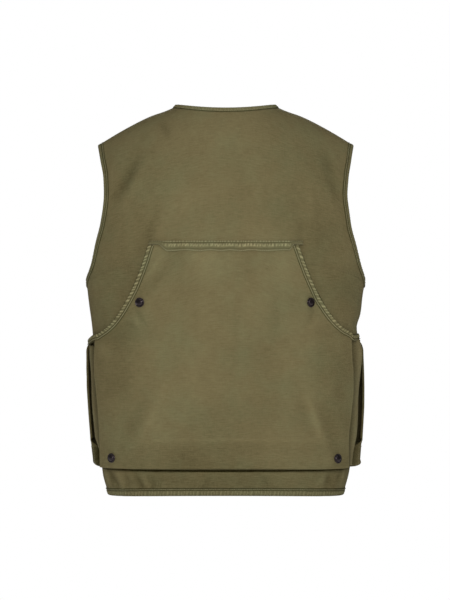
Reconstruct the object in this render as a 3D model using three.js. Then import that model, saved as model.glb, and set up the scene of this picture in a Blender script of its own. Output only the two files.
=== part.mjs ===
// V-neck work vest with a big pouch over the lower back and two front pockets, in the form it has when worn.
// Millimetres. +Z is up, +Y is the way the wearer faces and +X is the wearer's right.
// The origin is midway between the two points where the shoulders meet the neck.

import * as THREE from "three";

// Cloth and clearances
const CLOTH = 1.8; // thickness of the canvas
const GAP = 0.4; // clearance between neighbouring pieces
const SEAM = 0.25; // half of the clearance along a seam
const LAID = CLOTH + GAP + 0.2; // distance between the middles of two layers that lie on each other

// Body form. Each section is a squared ellipse: its half width, and its depth to the back and to the front.
const SQUARENESS = 2.6;
const SECTIONS = [
  { z: -645, half: 194, back: 118, front: 122 },
  { z: -602, half: 203, back: 116, front: 122 },
  { z: -550, half: 207, back: 114, front: 122 },
  { z: -450, half: 213.5, back: 112, front: 122 },
  { z: -374, half: 219, back: 113.5, front: 122 },
  { z: -344, half: 222, back: 114.5, front: 122 },
  { z: -304, half: 227, back: 116, front: 121.5 },
  { z: -291, half: 229.5, back: 116.5, front: 121 },
  { z: -230, half: 226.5, back: 118, front: 118.5 },
  { z: -150, half: 222, back: 116, front: 108 },
  { z: -60, half: 220.5, back: 104, front: 80 },
  { z: 20, half: 220.5, back: 98, front: 60 },
];

// Shoulders: the ridge runs out from the neck at this fall, and bends down towards the tip.
const SHOULDER = { neck: 86, fall: 0.355, bend: 0.00134, tip: 203.5, round: 110 };
const NECK = { half: 92.5, backDrop: 12, vBottom: -226, vHalf: 9.2, middle: 0.8 };
const UNDERARM = -293.5;
const HEM = { z: -632, backRise: 7 };

// Armhole edge of the back and of the front, as the distance from the middle.
const ARMHOLE = [
  { z: -293.5, back: 229.5, front: 229.5 },
  { z: -262, back: 215.2, front: 212.5 },
  { z: -230, back: 206.6, front: 202 },
  { z: -195, back: 197.6, front: 192 },
  { z: -145, back: 192, front: 186 },
  { z: -116, back: 193.6, front: 188 },
  { z: -86, back: 198.8, front: 195.5 },
  { z: -61, back: 203.5, front: 203.5 },
];

// Soft dents of the upper back: middle, direction of the run from level, length, width and depth.
const BACK_DENTS = [
  { x: -163, z: -124, turn: 62, length: 46, width: 15, depth: 4 },
  { x: 172, z: -122, turn: 110, length: 46, width: 15, depth: 4 },
  { x: 0, z: -150, turn: 90, length: 70, width: 60, depth: -2 },
];

// Folds of the pouch, in the same terms. A negative depth stands out.
const POUCH_FOLDS = [
  { x: 162, z: -520, turn: 112, length: 60, width: 13, depth: 4 },
  { x: 142, z: -505, turn: 104, length: 60, width: 16, depth: -3 },
  { x: -150, z: -500, turn: 78, length: 70, width: 20, depth: 3 },
  { x: 0, z: -545, turn: 0, length: 130, width: 12, depth: 2.5 },
];

// Pouch, from the bottom up: half width of its face, and how far it stands off at the sides and at the back.
const POUCH = { top: -235.5, bottom: -590, corner: -381 };
const POUCH_ROWS = [
  { z: -590, half: 203, side: 13, back: 21 },
  { z: -548, half: 204.8, side: 13, back: 19.5 },
  { z: -483, half: 209.5, side: 13, back: 16 },
  { z: -417, half: 212.5, side: 12.5, back: 12.8 },
  { z: -393, half: 213, side: 11, back: 11.4 },
  { z: -381, half: 212, side: 9.5, back: 10.6 },
  { z: -370, half: 194.5, side: 8, back: 10 },
  { z: -355, half: 179, side: 7, back: 9.2 },
  { z: -328, half: 159.3, side: 6, back: 8.2 },
  { z: -293, half: 140, side: 5.2, back: 6.8 },
  { z: -259, half: 127, side: 4.8, back: 5.4 },
  { z: -235.5, half: 119.5, side: 4.6, back: 4.6 },
];

// Base of the pouch: its height at the back panel, how far it sits above the face's edge, and its end angle.
const BASE = { z: -580, aboveEdge: 2.5, end: 57 };

// Side strip of the pouch, seen from above. It starts inside and behind the edge of the face, bows out past
// the side, and comes back to the seam. Places are from the face's edge, or from the side seam.
const GUSSET = { inside: 6, behind: 3.2, past: 1, turnBehind: 9, belowCorner: 9 };
const GUSSET_BOW = { out: 9.5, share: 0.45, rim: 10, rimY: -7, seamY: -1 };

// Tail of a hand entry's tape, past the corner of the face, and how far its direction has turned there.
const ENTRY_TAIL = { out: 8, forward: 20, drop: 4.5, turnOut: 0.25, turnForward: 0.1 };
const ENTRY_TOP = { belowBand: 3, clear: 5 };

// Band over the pouch's top edge. It comes down to the back between two shares of its height.
const BAND = { low: -237.5, high: -225.5, half: 123, thick: 1.6, seat: 0.1, bendFrom: 0.3, bendTo: 1.1 };

// Snap caps: sizes and places, and their outline in shares of the radius and the height.
const SNAP = { radius: 7.8, height: 3.2, seat: 0.3 };
const SNAP_PLACES = { upper: { x: 137.6, z: -323 }, lower: { x: 182, z: -575.5 } };
const SNAP_OUTLINE = [
  { r: 0, h: 0 },
  { r: 0.94, h: 0 },
  { r: 1, h: 0.3 },
  { r: 0.9, h: 0.62 },
  { r: 0.7, h: 0.5 },
  { r: 0.55, h: 0.86 },
  { r: 0, h: 1 },
];

// Front pockets: they wrap from just in front of the side seam towards the middle of the front, in degrees.
// They stand off the body, swell between two heights, and round off over these lengths at their sewn edges.
const POCKET = { rear: 96, front: 166, top: -388, bottom: -595, tack: -558, tackHalf: 8 };
const POCKET_SWELL = { stand: 12.8, swell: 5.6, from: -390, to: -470, sideShare: 0.2 };
const POCKET_ROUND = { rear: 14, front: 16, top: 22, bottom: 11, arcShare: 0.75 };
const PLACKET = { half: 17.5, top: -222, bottom: -626, lift: 1.6, liftFrom: -250, liftTo: -234 };

// Folded tape that wraps an edge: its half thickness, half the slot between its lips, and its rounding.
// On each edge, it reaches this far past the edge, its lips reach this far in, and it stands up by a share.
const TAPE = { half: 2.5, slot: 1.7, round: 1.4 };
const EDGES = {
  neck: { reach: 8.5, lip: 0.8, rise: 0.35 },
  armhole: { reach: 9, lip: 1.4, rise: 0 },
  hem: { reach: 9, lip: 4, rise: 0 },
  entry: { reach: 7, lip: 1.4, rise: 0 },
};

// Points that a tape's fold turns towards: above the neck, and outside each armhole.
const NECK_CENTRE = { x: 0, y: 0, z: 60 };
const ARM_CENTRE = { x: 280, y: 0, z: -160 };

// Faces across each piece, and the heights and angles at which faces lie closer together.
const STEPS = {
  besideBody: 4,
  besideArm: 10,
  shoulder: 7,
  pouchAcross: 24,
  pouchSide: 6,
  gussetAround: 8,
  gussetUp: 7,
  baseAcross: 18,
  baseOut: 2,
  bandAcross: 14,
  bandUp: 4,
  placketAcross: 4,
  placketUp: 14,
  snapAround: 14,
};
const TIP_ROW_DROP = 1.4;
const NECK_COLUMNS = [NECK.vHalf, 34, 55, 71, 82, 88.8, 91.7, NECK.half];
const ENTRY_ROWS = [-377, -371, -363, -351, -333, -311, -289, -266, -248, POUCH.top];
const POCKET_TURNS = [POCKET.rear, 99, 103, 109, 118, 129, 140, 151, 159, 164, POCKET.front];
const POCKET_ROWS = [
  POCKET.bottom, -593.5, -589, -582, -566, POCKET.tack, -549, -510, -460, -415, -398, -390, POCKET.top,
];

// Small steps for taking directions: along an angle, along a height, and as a share of a surface.
const NUDGE = { turn: 1e-3, height: 0.4, share: 1e-4 };
const ROUNDING = 1e-6;

const radians = THREE.MathUtils.degToRad;
const clamp = THREE.MathUtils.clamp;
const smoothstep = THREE.MathUtils.smoothstep;
const signedPower = (base, exponent) => Math.sign(base) * Math.abs(base) ** exponent;
const quarterRound = (share) => Math.sqrt(1 - (1 - clamp(share, 0, 1)) ** 2);
const point = (x, y, z) => new THREE.Vector3(x, y, z);

// A list of evenly spaced numbers, both ends included.
function spaced(from, to, steps) {
  return Array.from({ length: steps + 1 }, (unused, i) => from + ((to - from) * i) / steps);
}

// A list of numbers that lie closer together towards both ends.
function crowded(from, to, steps) {
  return spaced(0, Math.PI, steps).map((turn) => from + ((to - from) * (1 - Math.cos(turn))) / 2);
}

// Reads a column of a table at a height, along a smooth curve that never overshoots the rows.
function tableValue(rows, column, z) {
  const last = rows.length - 1;
  const at = clamp(z, rows[0].z, rows[last].z);
  let low = 0;
  while (low < last - 1 && at > rows[low + 1].z) {
    low += 1;
  }
  const secant = (k) => (rows[k + 1][column] - rows[k][column]) / (rows[k + 1].z - rows[k].z);
  const slope = (k) => {
    const before = secant(Math.max(k - 1, 0));
    const after = secant(Math.min(k, last - 1));
    return before * after > 0 ? (2 * before * after) / (before + after) : 0;
  };
  const span = rows[low + 1].z - rows[low].z;
  const f = (at - rows[low].z) / span;
  const g = 1 - f;
  const ends = rows[low][column] * g * g * (1 + 2 * f) + rows[low + 1][column] * f * f * (3 - 2 * f);
  return ends + span * f * g * (slope(low) * g - slope(low + 1) * f);
}

// Height of the line along the top of the shoulders.
function ridge(x) {
  const out = Math.abs(x) - SHOULDER.neck;
  if (out < 0) {
    return (SHOULDER.fall * (SHOULDER.neck ** 2 - x * x)) / (2 * SHOULDER.neck);
  }
  return -(SHOULDER.fall * out + SHOULDER.bend * out * out);
}

// Point of a squared ellipse. The angle is 0 at the middle of the back, 90 degrees at the right side seam
// and 180 degrees at the middle of the front. The shoulders round off below the ridge.
function formPoint(angle, z, growSide, growBack) {
  const x = (tableValue(SECTIONS, "half", z) + growSide) * signedPower(Math.sin(angle), 2 / SQUARENESS);
  const across = signedPower(Math.cos(angle), 2 / SQUARENESS);
  const depth = tableValue(SECTIONS, across > 0 ? "back" : "front", z) + growBack;
  const shoulder = quarterRound((ridge(x) - z) / SHOULDER.round);
  return point(x, -depth * across * shoulder, z);
}

function bodyPoint(angle, z) {
  return formPoint(angle, z, 0, 0);
}

// Outward direction of the body, taken a little below the ridge at most.
function bodyNormal(angle, z) {
  const x = bodyPoint(angle, z).x;
  const below = Math.min(z, ridge(x) - 1);
  const around = bodyPoint(angle + NUDGE.turn, below).sub(bodyPoint(angle - NUDGE.turn, below));
  const up = bodyPoint(angle, below + NUDGE.height).sub(bodyPoint(angle, below - NUDGE.height));
  return around.cross(up).normalize();
}

function onBody(angle, z, lift) {
  return bodyPoint(angle, z).addScaledVector(bodyNormal(angle, z), lift);
}

// Angle from the middle of the back, or of the front, at which a section has this half width.
function angleAt(x, z, growSide = 0) {
  const share = clamp(x / (tableValue(SECTIONS, "half", z) + growSide), -1, 1);
  return Math.asin(signedPower(share, SQUARENESS / 2));
}

// Sum of soft grooves, each a bell across its run and a bell along it.
function foldDepth(folds, x, z) {
  let sum = 0;
  for (const fold of folds) {
    const turn = radians(fold.turn);
    const along = (x - fold.x) * Math.cos(turn) + (z - fold.z) * Math.sin(turn);
    const across = (z - fold.z) * Math.cos(turn) - (x - fold.x) * Math.sin(turn);
    sum += fold.depth * Math.exp(-((along / fold.length) ** 2) - (across / fold.width) ** 2);
  }
  return sum;
}

// Closed body from points and triangles, with its faces turned outward.
function solid(points, faces) {
  let volume = 0;
  for (const [a, b, c] of faces) {
    volume += points[a].dot(points[b].clone().cross(points[c]));
  }
  const turned = volume > 0 ? faces : faces.map(([a, b, c]) => [a, c, b]);
  const geometry = new THREE.BufferGeometry();
  geometry.setAttribute("position", new THREE.Float32BufferAttribute(points.flatMap((p) => p.toArray()), 3));
  geometry.setIndex(turned.flat());
  geometry.computeVertexNormals();
  return geometry;
}

// Cloth of even thickness on both sides of a surface, which is sampled at the values us and vs.
function shell(surface, us, vs, thickness = CLOTH, normalAt = null) {
  const within = (list, value) => clamp(value, list[0], list.at(-1));
  const du = NUDGE.share * (us.at(-1) - us[0]);
  const dv = NUDGE.share * (vs.at(-1) - vs[0]);
  const gridNormal = (u, v) => {
    const alongU = surface(within(us, u + du), v).sub(surface(within(us, u - du), v));
    const alongV = surface(u, within(vs, v + dv)).sub(surface(u, within(vs, v - dv)));
    return alongU.cross(alongV).normalize();
  };
  const direction = normalAt ?? gridNormal;
  const outer = [];
  const inner = [];
  for (const u of us) {
    for (const v of vs) {
      const middle = surface(u, v);
      const half = direction(u, v).multiplyScalar(thickness / 2);
      outer.push(middle.clone().add(half));
      inner.push(middle.clone().sub(half));
    }
  }
  const rows = vs.length;
  const under = outer.length;
  const faces = [];
  const quad = (a, b, c, d) => faces.push([a, b, c], [a, c, d]);
  for (let i = 0; i < us.length - 1; i += 1) {
    for (let j = 0; j < rows - 1; j += 1) {
      const a = i * rows + j;
      const b = a + rows;
      const [p, q, r, s] = us[i] < 0 ? [b, b + 1, a + 1, a] : [a, b, b + 1, a + 1];
      quad(p, q, r, s);
      quad(under + p, under + s, under + r, under + q);
    }
    const foot = i * rows;
    const head = foot + rows - 1;
    quad(foot, under + foot, under + foot + rows, foot + rows);
    quad(head, head + rows, under + head + rows, under + head);
  }
  const lastColumn = (us.length - 1) * rows;
  for (let j = 0; j < rows - 1; j += 1) {
    quad(j, j + 1, under + j + 1, under + j);
    quad(lastColumn + j, under + lastColumn + j, under + lastColumn + j + 1, lastColumn + j + 1);
  }
  return solid([...outer, ...inner], faces);
}

// Section of a folded tape: its two lips hold the cloth's edge, which is at 0, and its fold reaches past it.
function tapeSection({ reach, lip }) {
  const slot = TAPE.slot;
  return [
    new THREE.Vector2(-lip, slot),
    new THREE.Vector2(GAP, slot),
    new THREE.Vector2(GAP, -slot),
    new THREE.Vector2(-lip, -slot),
    new THREE.Vector2(-lip, -TAPE.half),
    new THREE.Vector2(reach - TAPE.round, -TAPE.half),
    new THREE.Vector2(reach, TAPE.round - TAPE.half),
    new THREE.Vector2(reach, TAPE.half - TAPE.round),
    new THREE.Vector2(reach - TAPE.round, TAPE.half),
    new THREE.Vector2(-lip, TAPE.half),
  ];
}

// Tape along stations { at, normal }, on one of the edges above. Its fold turns the way that outward points.
function tape(stations, edge, closed, outward) {
  const section = tapeSection(edge);
  const count = stations.length;
  const rings = stations.map((station, k) => {
    const next = stations[closed ? (k + 1) % count : Math.min(k + 1, count - 1)].at;
    const before = stations[closed ? (k + count - 1) % count : Math.max(k - 1, 0)].at;
    const along = next.clone().sub(before).normalize();
    const past = along.clone().cross(station.normal).normalize();
    const turn = past.dot(outward(station)) < 0 ? -1 : 1;
    past.multiplyScalar(turn);
    return section.map((p) => {
      const at = station.at.clone().addScaledVector(past, p.x).addScaledVector(station.normal, p.y);
      at.z += edge.rise * Math.max(p.x - GAP, 0);
      return at;
    });
  });
  const size = section.length;
  const faces = [];
  for (let k = 0; k < (closed ? count : count - 1); k += 1) {
    const here = k * size;
    const there = ((k + 1) % count) * size;
    for (let i = 0; i < size; i += 1) {
      const j = (i + 1) % size;
      faces.push([here + i, there + i, there + j], [here + i, there + j, here + j]);
    }
  }
  if (!closed) {
    const end = (count - 1) * size;
    for (const [a, b, c] of THREE.ShapeUtils.triangulateShape(section, [])) {
      faces.push([a, b, c], [end + a, end + c, end + b]);
    }
  }
  return solid(rings.flat(), faces);
}

// Panels. A panel's point has a share s across, from the middle to the side, and a share t up, from the hem.
const tipHeight = ridge(SHOULDER.tip);
const armRows = crowded(UNDERARM, tipHeight, STEPS.besideArm).slice(1, -1);
const edgeHeights = [
  ...spaced(HEM.z, UNDERARM, STEPS.besideBody), ...armRows, tipHeight - TIP_ROW_DROP, tipHeight,
];
const panelRows = edgeHeights.map((z) => (z - HEM.z) / (tipHeight - HEM.z));
const underarmRow = STEPS.besideBody;

function edgeAngle(t, side) {
  const z = HEM.z + t * (tipHeight - HEM.z);
  if (z < UNDERARM + ROUNDING) {
    return Math.PI / 2;
  }
  return angleAt(tableValue(ARMHOLE, side, z), z);
}

const neckHeight = ridge(NECK.half);
const backNeck = (x) => neckHeight - NECK.backDrop * (1 - (x / NECK.half) ** 2);
const vShare = (x) => Math.max(x - NECK.vHalf, 0) / (NECK.half - NECK.vHalf);
const frontNeck = (x) => NECK.vBottom + vShare(x) * (neckHeight - NECK.vBottom);

// Height of a panel's top edge above the angle s times the tip's angle: the neckline, then the shoulder.
function topHeight(s, neckline) {
  const turn = Math.abs(s) * edgeAngle(1, "back");
  let z = 0;
  for (let pass = 0; pass < 12; pass += 1) {
    const x = tableValue(SECTIONS, "half", z) * Math.sin(turn) ** (2 / SQUARENESS);
    z = x < NECK.half - ROUNDING ? neckline(x) : ridge(x);
  }
  return z;
}

function backPlace(s, t) {
  const angle = s * edgeAngle(t, "back");
  const hem = HEM.z + HEM.backRise * Math.cos(angle) ** 2;
  return { angle, z: hem + t * (topHeight(s, backNeck) - hem) };
}

function backPanel(s, t) {
  const { angle, z } = backPlace(s, t);
  const at = bodyPoint(angle, z);
  at.addScaledVector(bodyNormal(angle, z), -foldDepth(BACK_DENTS, at.x, z));
  at.y = Math.min(at.y, -SEAM);
  return at;
}

function backNormal(s, t) {
  const { angle, z } = backPlace(s, t);
  return bodyNormal(angle, z);
}

// Front panels, on the right for side 1 and on the left for side -1.
function frontPlace(s, t) {
  const middle = angleAt(NECK.middle, NECK.vBottom);
  const fromFront = Math.max(s * edgeAngle(t, "front"), middle);
  return { angle: Math.PI - fromFront, z: HEM.z + t * (topHeight(s, frontNeck) - HEM.z) };
}

function frontPanel(side) {
  return (s, t) => {
    const { angle, z } = frontPlace(s, t);
    const at = bodyPoint(angle, z);
    return point(side * at.x, Math.max(at.y, SEAM), at.z);
  };
}

// Direction across the cloth: outward on the left and inward on the right, as the columns run.
function frontNormal(side) {
  return (s, t) => {
    const { angle, z } = frontPlace(s, t);
    const normal = bodyNormal(angle, z);
    return point(side * normal.x, normal.y, normal.z).multiplyScalar(-side);
  };
}

const neckColumns = NECK_COLUMNS.map((x) => angleAt(x, frontNeck(x)) / edgeAngle(1, "back"));
const neckShare = neckColumns.at(-1);
const halfColumns = [0, ...neckColumns, ...spaced(neckShare, 1, STEPS.shoulder).slice(1)];
const backColumns = [...halfColumns.slice(1).map((s) => -s).reverse(), ...halfColumns];

// Edges of the panels as stations for the tapes.
const between = (a, b) => ({
  at: a.at.clone().add(b.at).multiplyScalar(0.5),
  normal: a.normal.clone().add(b.normal).normalize(),
});
const backStation = (s, t) => ({ at: backPanel(s, t), normal: backNormal(s, t) });
const frontStation = (side, s, t) => ({
  at: frontPanel(side)(s, t),
  normal: frontNormal(side)(s, t).multiplyScalar(-side),
});

function armholeStations(side) {
  const underarm = panelRows[underarmRow];
  const rows = panelRows.slice(underarmRow + 1, -1);
  return [
    between(backStation(side, underarm), frontStation(side, 1, underarm)),
    ...rows.map((t) => backStation(side, t)),
    between(backStation(side, 1), frontStation(side, 1, 1)),
    ...rows.map((t) => frontStation(side, 1, t)).reverse(),
  ];
}

function neckStations() {
  const vEdge = (side) => neckColumns.slice(0, -1).map((s) => frontStation(side, s, 1));
  const neckPoint = (side) => between(backStation(side * neckShare, 1), frontStation(side, neckShare, 1));
  const backColumnsInside = backColumns.filter((s) => Math.abs(s) < neckShare - ROUNDING);
  return [
    ...vEdge(-1),
    neckPoint(-1),
    ...backColumnsInside.map((s) => backStation(s, 1)),
    neckPoint(1),
    ...vEdge(1).reverse(),
  ];
}

function hemStations() {
  const frontEdge = (side) => halfColumns.slice(0, -1).map((s) => frontStation(side, s, 0));
  const sideSeam = (side) => between(backStation(side, 0), frontStation(side, 1, 0));
  return [
    ...frontEdge(-1),
    sideSeam(-1),
    ...backColumns.slice(1, -1).map((s) => backStation(s, 0)),
    sideSeam(1),
    ...frontEdge(1).reverse(),
  ];
}

// Pouch face: a squared ellipse that is grown by the table, with its folds pressed in.
function pouchEdge(z) {
  return angleAt(tableValue(POUCH_ROWS, "half", z), z, tableValue(POUCH_ROWS, "side", z));
}

function pouchAt(angle, z) {
  const at = formPoint(angle, z, tableValue(POUCH_ROWS, "side", z), tableValue(POUCH_ROWS, "back", z));
  at.y += foldDepth(POUCH_FOLDS, at.x, z);
  return at;
}

function pouchNormal(angle, z) {
  const around = pouchAt(angle + NUDGE.turn, z).sub(pouchAt(angle - NUDGE.turn, z));
  const up = pouchAt(angle, z + NUDGE.height).sub(pouchAt(angle, z - NUDGE.height));
  return around.cross(up).normalize();
}

const pouchFace = (s, z) => pouchAt(s * pouchEdge(z), z);
const pouchRows = [...spaced(POUCH.bottom, POUCH.corner, STEPS.pouchSide), ...ENTRY_ROWS];

// Stations along a slanting hand entry, from a tail past the side corner up to just under the band.
function pouchEntry(side) {
  const station = (z) => ({ at: pouchFace(side, z), normal: pouchNormal(side * pouchEdge(z), z) });
  const edge = [POUCH.corner, ...ENTRY_ROWS].filter((z) => z < BAND.low - ENTRY_TOP.clear).map(station);
  const tail = edge[0].at.clone().add(point(side * ENTRY_TAIL.out, ENTRY_TAIL.forward, -ENTRY_TAIL.drop));
  const turned = edge[0].normal.clone().add(point(side * ENTRY_TAIL.turnOut, ENTRY_TAIL.turnForward, 0));
  return [{ at: tail, normal: turned.normalize() }, ...edge, station(BAND.low - ENTRY_TOP.belowBand)];
}

function pouchGusset(side) {
  return (w, z) => {
    const edge = pouchFace(1, z);
    const half = tableValue(SECTIONS, "half", z);
    const path = new THREE.SplineCurve([
      new THREE.Vector2(edge.x - GUSSET.inside, edge.y + GUSSET.behind),
      new THREE.Vector2(edge.x + GUSSET.past, edge.y + GUSSET.turnBehind),
      new THREE.Vector2(half + GUSSET_BOW.out, edge.y * GUSSET_BOW.share),
      new THREE.Vector2(half + GUSSET_BOW.rim, GUSSET_BOW.rimY),
      new THREE.Vector2(half + LAID, GUSSET_BOW.seamY),
    ]);
    const at = path.getPoint(w);
    return point(side * at.x, at.y, z);
  };
}

// Shelf from the back panel out to the pouch's face.
function pouchBase(angle, w) {
  const inner = onBody(angle, BASE.z, LAID);
  const low = POUCH.bottom + BASE.aboveEdge;
  const outer = pouchAt(angle, low).addScaledVector(pouchNormal(angle, low), -LAID);
  return inner.lerp(outer, w);
}

// Band that lies on the pouch's face below and on the back panel above.
function pouchBand(x, z) {
  const share = (z - BAND.low) / (BAND.high - BAND.low);
  const onBack = CLOTH / 2 + GAP + BAND.thick / 2 + BAND.seat;
  const onFace = onBack + tableValue(POUCH_ROWS, "back", POUCH.top);
  const bend = smoothstep(share, BAND.bendFrom, BAND.bendTo);
  return onBody(angleAt(x, z), z, THREE.MathUtils.lerp(onFace, onBack, bend));
}

// Front pocket: sewn down along its top, front and bottom, and open at the rear above the bar tack.
function frontPocket(side) {
  return (turn, z) => {
    const angle = radians(turn);
    const reach = tableValue(SECTIONS, "half", z);
    const fromRear = radians(turn - POCKET.rear) * reach * POCKET_ROUND.arcShare;
    const fromFront = radians(POCKET.front - turn) * reach * POCKET_ROUND.arcShare;
    const closed = smoothstep(-z, -POCKET.tack - POCKET.tackHalf, -POCKET.tack + POCKET.tackHalf);
    const rear = 1 - closed * (1 - quarterRound(fromRear / POCKET_ROUND.rear));
    const top = quarterRound((POCKET.top - z) / POCKET_ROUND.top);
    const bottom = quarterRound((z - POCKET.bottom) / POCKET_ROUND.bottom);
    const front = quarterRound(fromFront / POCKET_ROUND.front);
    const swollen = smoothstep(-z, -POCKET_SWELL.from, -POCKET_SWELL.to);
    const full = POCKET_SWELL.stand + POCKET_SWELL.swell * swollen;
    const around = 1 - POCKET_SWELL.sideShare * (1 - Math.sin(angle));
    const at = onBody(angle, z, LAID + full * rear * top * bottom * front * around);
    at.x *= side;
    return at;
  };
}

// Front placket: a plain strip over the meeting edges, lifted over the ends of the neck tape.
function frontPlacket(x, z) {
  const lift = LAID + PLACKET.lift * smoothstep(z, PLACKET.liftFrom, PLACKET.liftTo);
  return onBody(Math.PI - angleAt(x, z), z, lift);
}

// Snap cap: a low dome with a ring around it.
function snapCap() {
  const outline = SNAP_OUTLINE.map(({ r, h }) => new THREE.Vector2(r * SNAP.radius, h * SNAP.height));
  return new THREE.LatheGeometry(outline, STEPS.snapAround);
}

// Colours
const canvas = { color: 0x6f6448, roughness: 0.95, metalness: 0 };
const binding = { color: 0x7a6d50, roughness: 0.95, metalness: 0 };
const darkMetal = { color: 0x2b2422, roughness: 0.45, metalness: 0.85 };

const vest = new THREE.Group();
vest.name = "v_neck_vest";

function addPiece(name, geometry, look) {
  const mesh = new THREE.Mesh(geometry, new THREE.MeshStandardMaterial(look));
  mesh.name = name;
  vest.add(mesh);
  return mesh;
}

function addSnap(name, place, side) {
  const angle = side * angleAt(place.x, place.z, tableValue(POUCH_ROWS, "side", place.z));
  const normal = pouchNormal(angle, place.z);
  const mesh = addPiece(name, snapCap(), darkMetal);
  mesh.position.copy(pouchAt(angle, place.z).addScaledVector(normal, CLOTH / 2 + GAP + SNAP.seat));
  mesh.quaternion.setFromUnitVectors(point(0, 1, 0), normal);
}

const towards = (x, y, z) => (station) => point(x, y, z).sub(station.at);
const towardsNeck = towards(NECK_CENTRE.x, NECK_CENTRE.y, NECK_CENTRE.z);
const towardsArm = (side) => towards(side * ARM_CENTRE.x, ARM_CENTRE.y, ARM_CENTRE.z);
const down = () => point(0, 0, -1);
const upAndOut = (side) => () => point(side, 0, 1);

const gussetTurns = spaced(0, 1, STEPS.gussetAround);
const gussetRows = spaced(POUCH.bottom, POUCH.corner - GUSSET.belowCorner, STEPS.gussetUp);
const faceColumns = spaced(-1, 1, STEPS.pouchAcross);
const baseTurns = spaced(-radians(BASE.end), radians(BASE.end), STEPS.baseAcross);
const bandColumns = spaced(-BAND.half, BAND.half, STEPS.bandAcross);
const bandRows = spaced(BAND.low, BAND.high, STEPS.bandUp);
const placketColumns = spaced(-PLACKET.half, PLACKET.half, STEPS.placketAcross);
const placketRows = spaced(PLACKET.bottom, PLACKET.top, STEPS.placketUp);

addPiece("back_panel", shell(backPanel, backColumns, panelRows, CLOTH, backNormal), canvas);
for (const [name, side] of [["left", -1], ["right", 1]]) {
  const front = shell(frontPanel(side), halfColumns, panelRows, CLOTH, frontNormal(side));
  const armhole = tape(armholeStations(side), EDGES.armhole, true, towardsArm(side));
  addPiece(`front_panel_${name}`, front, canvas);
  addPiece(`armhole_binding_${name}`, armhole, binding);
  addPiece(`pouch_binding_${name}`, tape(pouchEntry(side), EDGES.entry, false, upAndOut(side)), binding);
  addPiece(`pouch_gusset_${name}`, shell(pouchGusset(side), gussetTurns, gussetRows), canvas);
  addSnap(`pouch_snap_upper_${name}`, SNAP_PLACES.upper, side);
  addSnap(`pouch_snap_lower_${name}`, SNAP_PLACES.lower, side);
  addPiece(`front_pocket_${name}`, shell(frontPocket(side), POCKET_TURNS, POCKET_ROWS), canvas);
}
addPiece("neck_binding", tape(neckStations(), EDGES.neck, false, towardsNeck), binding);
addPiece("hem_binding", tape(hemStations(), EDGES.hem, false, down), binding);
addPiece("pouch_face", shell(pouchFace, faceColumns, pouchRows), canvas);
addPiece("pouch_base", shell(pouchBase, baseTurns, spaced(0, 1, STEPS.baseOut)), canvas);
addPiece("pouch_top_band", shell(pouchBand, bandColumns, bandRows, BAND.thick), binding);
addPiece("front_placket", shell(frontPlacket, placketColumns, placketRows), canvas);

export default vest;
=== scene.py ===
import bpy
import numpy as np
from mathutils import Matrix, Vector


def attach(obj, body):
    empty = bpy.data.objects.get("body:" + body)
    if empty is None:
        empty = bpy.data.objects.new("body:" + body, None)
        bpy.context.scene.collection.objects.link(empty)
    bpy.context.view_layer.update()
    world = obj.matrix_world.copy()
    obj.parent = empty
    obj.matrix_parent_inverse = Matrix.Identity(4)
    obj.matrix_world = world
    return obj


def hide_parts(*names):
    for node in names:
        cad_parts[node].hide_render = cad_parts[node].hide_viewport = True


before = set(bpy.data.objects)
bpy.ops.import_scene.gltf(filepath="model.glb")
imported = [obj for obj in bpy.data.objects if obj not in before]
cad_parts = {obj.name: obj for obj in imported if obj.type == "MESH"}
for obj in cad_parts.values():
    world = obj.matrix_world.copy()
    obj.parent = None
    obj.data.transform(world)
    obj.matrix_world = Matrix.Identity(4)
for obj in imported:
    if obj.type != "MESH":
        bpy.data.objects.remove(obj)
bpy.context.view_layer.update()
print("frame loaded:", len(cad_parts), "nodes")

mm = 0.001  # shapes are worked out in millimetres and put into the meshes in metres
sides = {"left": -1, "right": 1}


# Worn form

clothSize = {"thick": 1.8, "seam": 0.25, "laid": 2.4}  # laid: between the middles of two layers
squareness = 2.6
bodyForm = {  # squared ellipses, hem to shoulder: half width, depth to the back and to the front
    "z": [-645, -602, -550, -450, -374, -344, -304, -291, -230, -150, -60, 20],
    "half": [191, 202.4, 207, 213.5, 219, 222, 227, 229.5, 226.5, 222, 220.5, 220.5],
    "back": [118, 116, 114, 112, 113.5, 114.5, 116, 116.5, 118, 116, 104, 98],
    "front": [122, 122, 122, 122, 122, 122, 121.5, 121, 118.5, 108, 80, 60],
}
shoulder = {  # where the fall starts, its slope and bend, the tips, the rounding, and a dip beside the neck
    "neck": 86, "fall": 0.385, "bend": 0.00107, "tip": 203.5, "round": 110,
    "dip": 2.6, "dipAt": 97, "dipOver": 20,
}
neckLine = {  # stand: the neck points over the ridge, middle: half the gap between the fronts
    "half": 86.6, "stand": -1.2, "backDrop": 9.5, "vBottom": -226, "vHalf": 9.2, "middle": 0.8,
}
armLine = {  # half widths of the armhole's edge, on the back and on the front
    "z": [-293.5, -262, -230, -195, -145, -116, -86, -61],
    "back": [229.5, 215.2, 206.6, 197.6, 192, 193.6, 198.8, 203.5],
    "front": [229.5, 212.5, 202, 192, 186, 188, 195.5, 203.5],
}
underarm = armLine["z"][0]
hemLine = {"z": -631, "backRise": 5}
drawnIn = {"depth": 4.2, "z": -362, "reach": 14, "from": 203, "to": 220}  # right side, above the pouch
slackWaves = {"turn": [14, 62, 99, 143, 171], "length": [190, 130, 83, 112, 64],
              "start": [0.4, 2.1, 4.0, 1.2, 5.3]}
smallStep = {"angle": 1e-3, "height": 0.4, "underRidge": 1}
tiny = 1e-6  # lengths and shares closer than this are the same


# Power that keeps the sign of its base.
def signedPower(base, exponent):
    return np.sign(base) * np.abs(base) ** exponent


# Quarter of a circle: rises steeply from 0 and levels out at 1.
def quarterRound(share):
    return np.sqrt(1 - (1 - np.clip(share, 0, 1)) ** 2)


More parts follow.
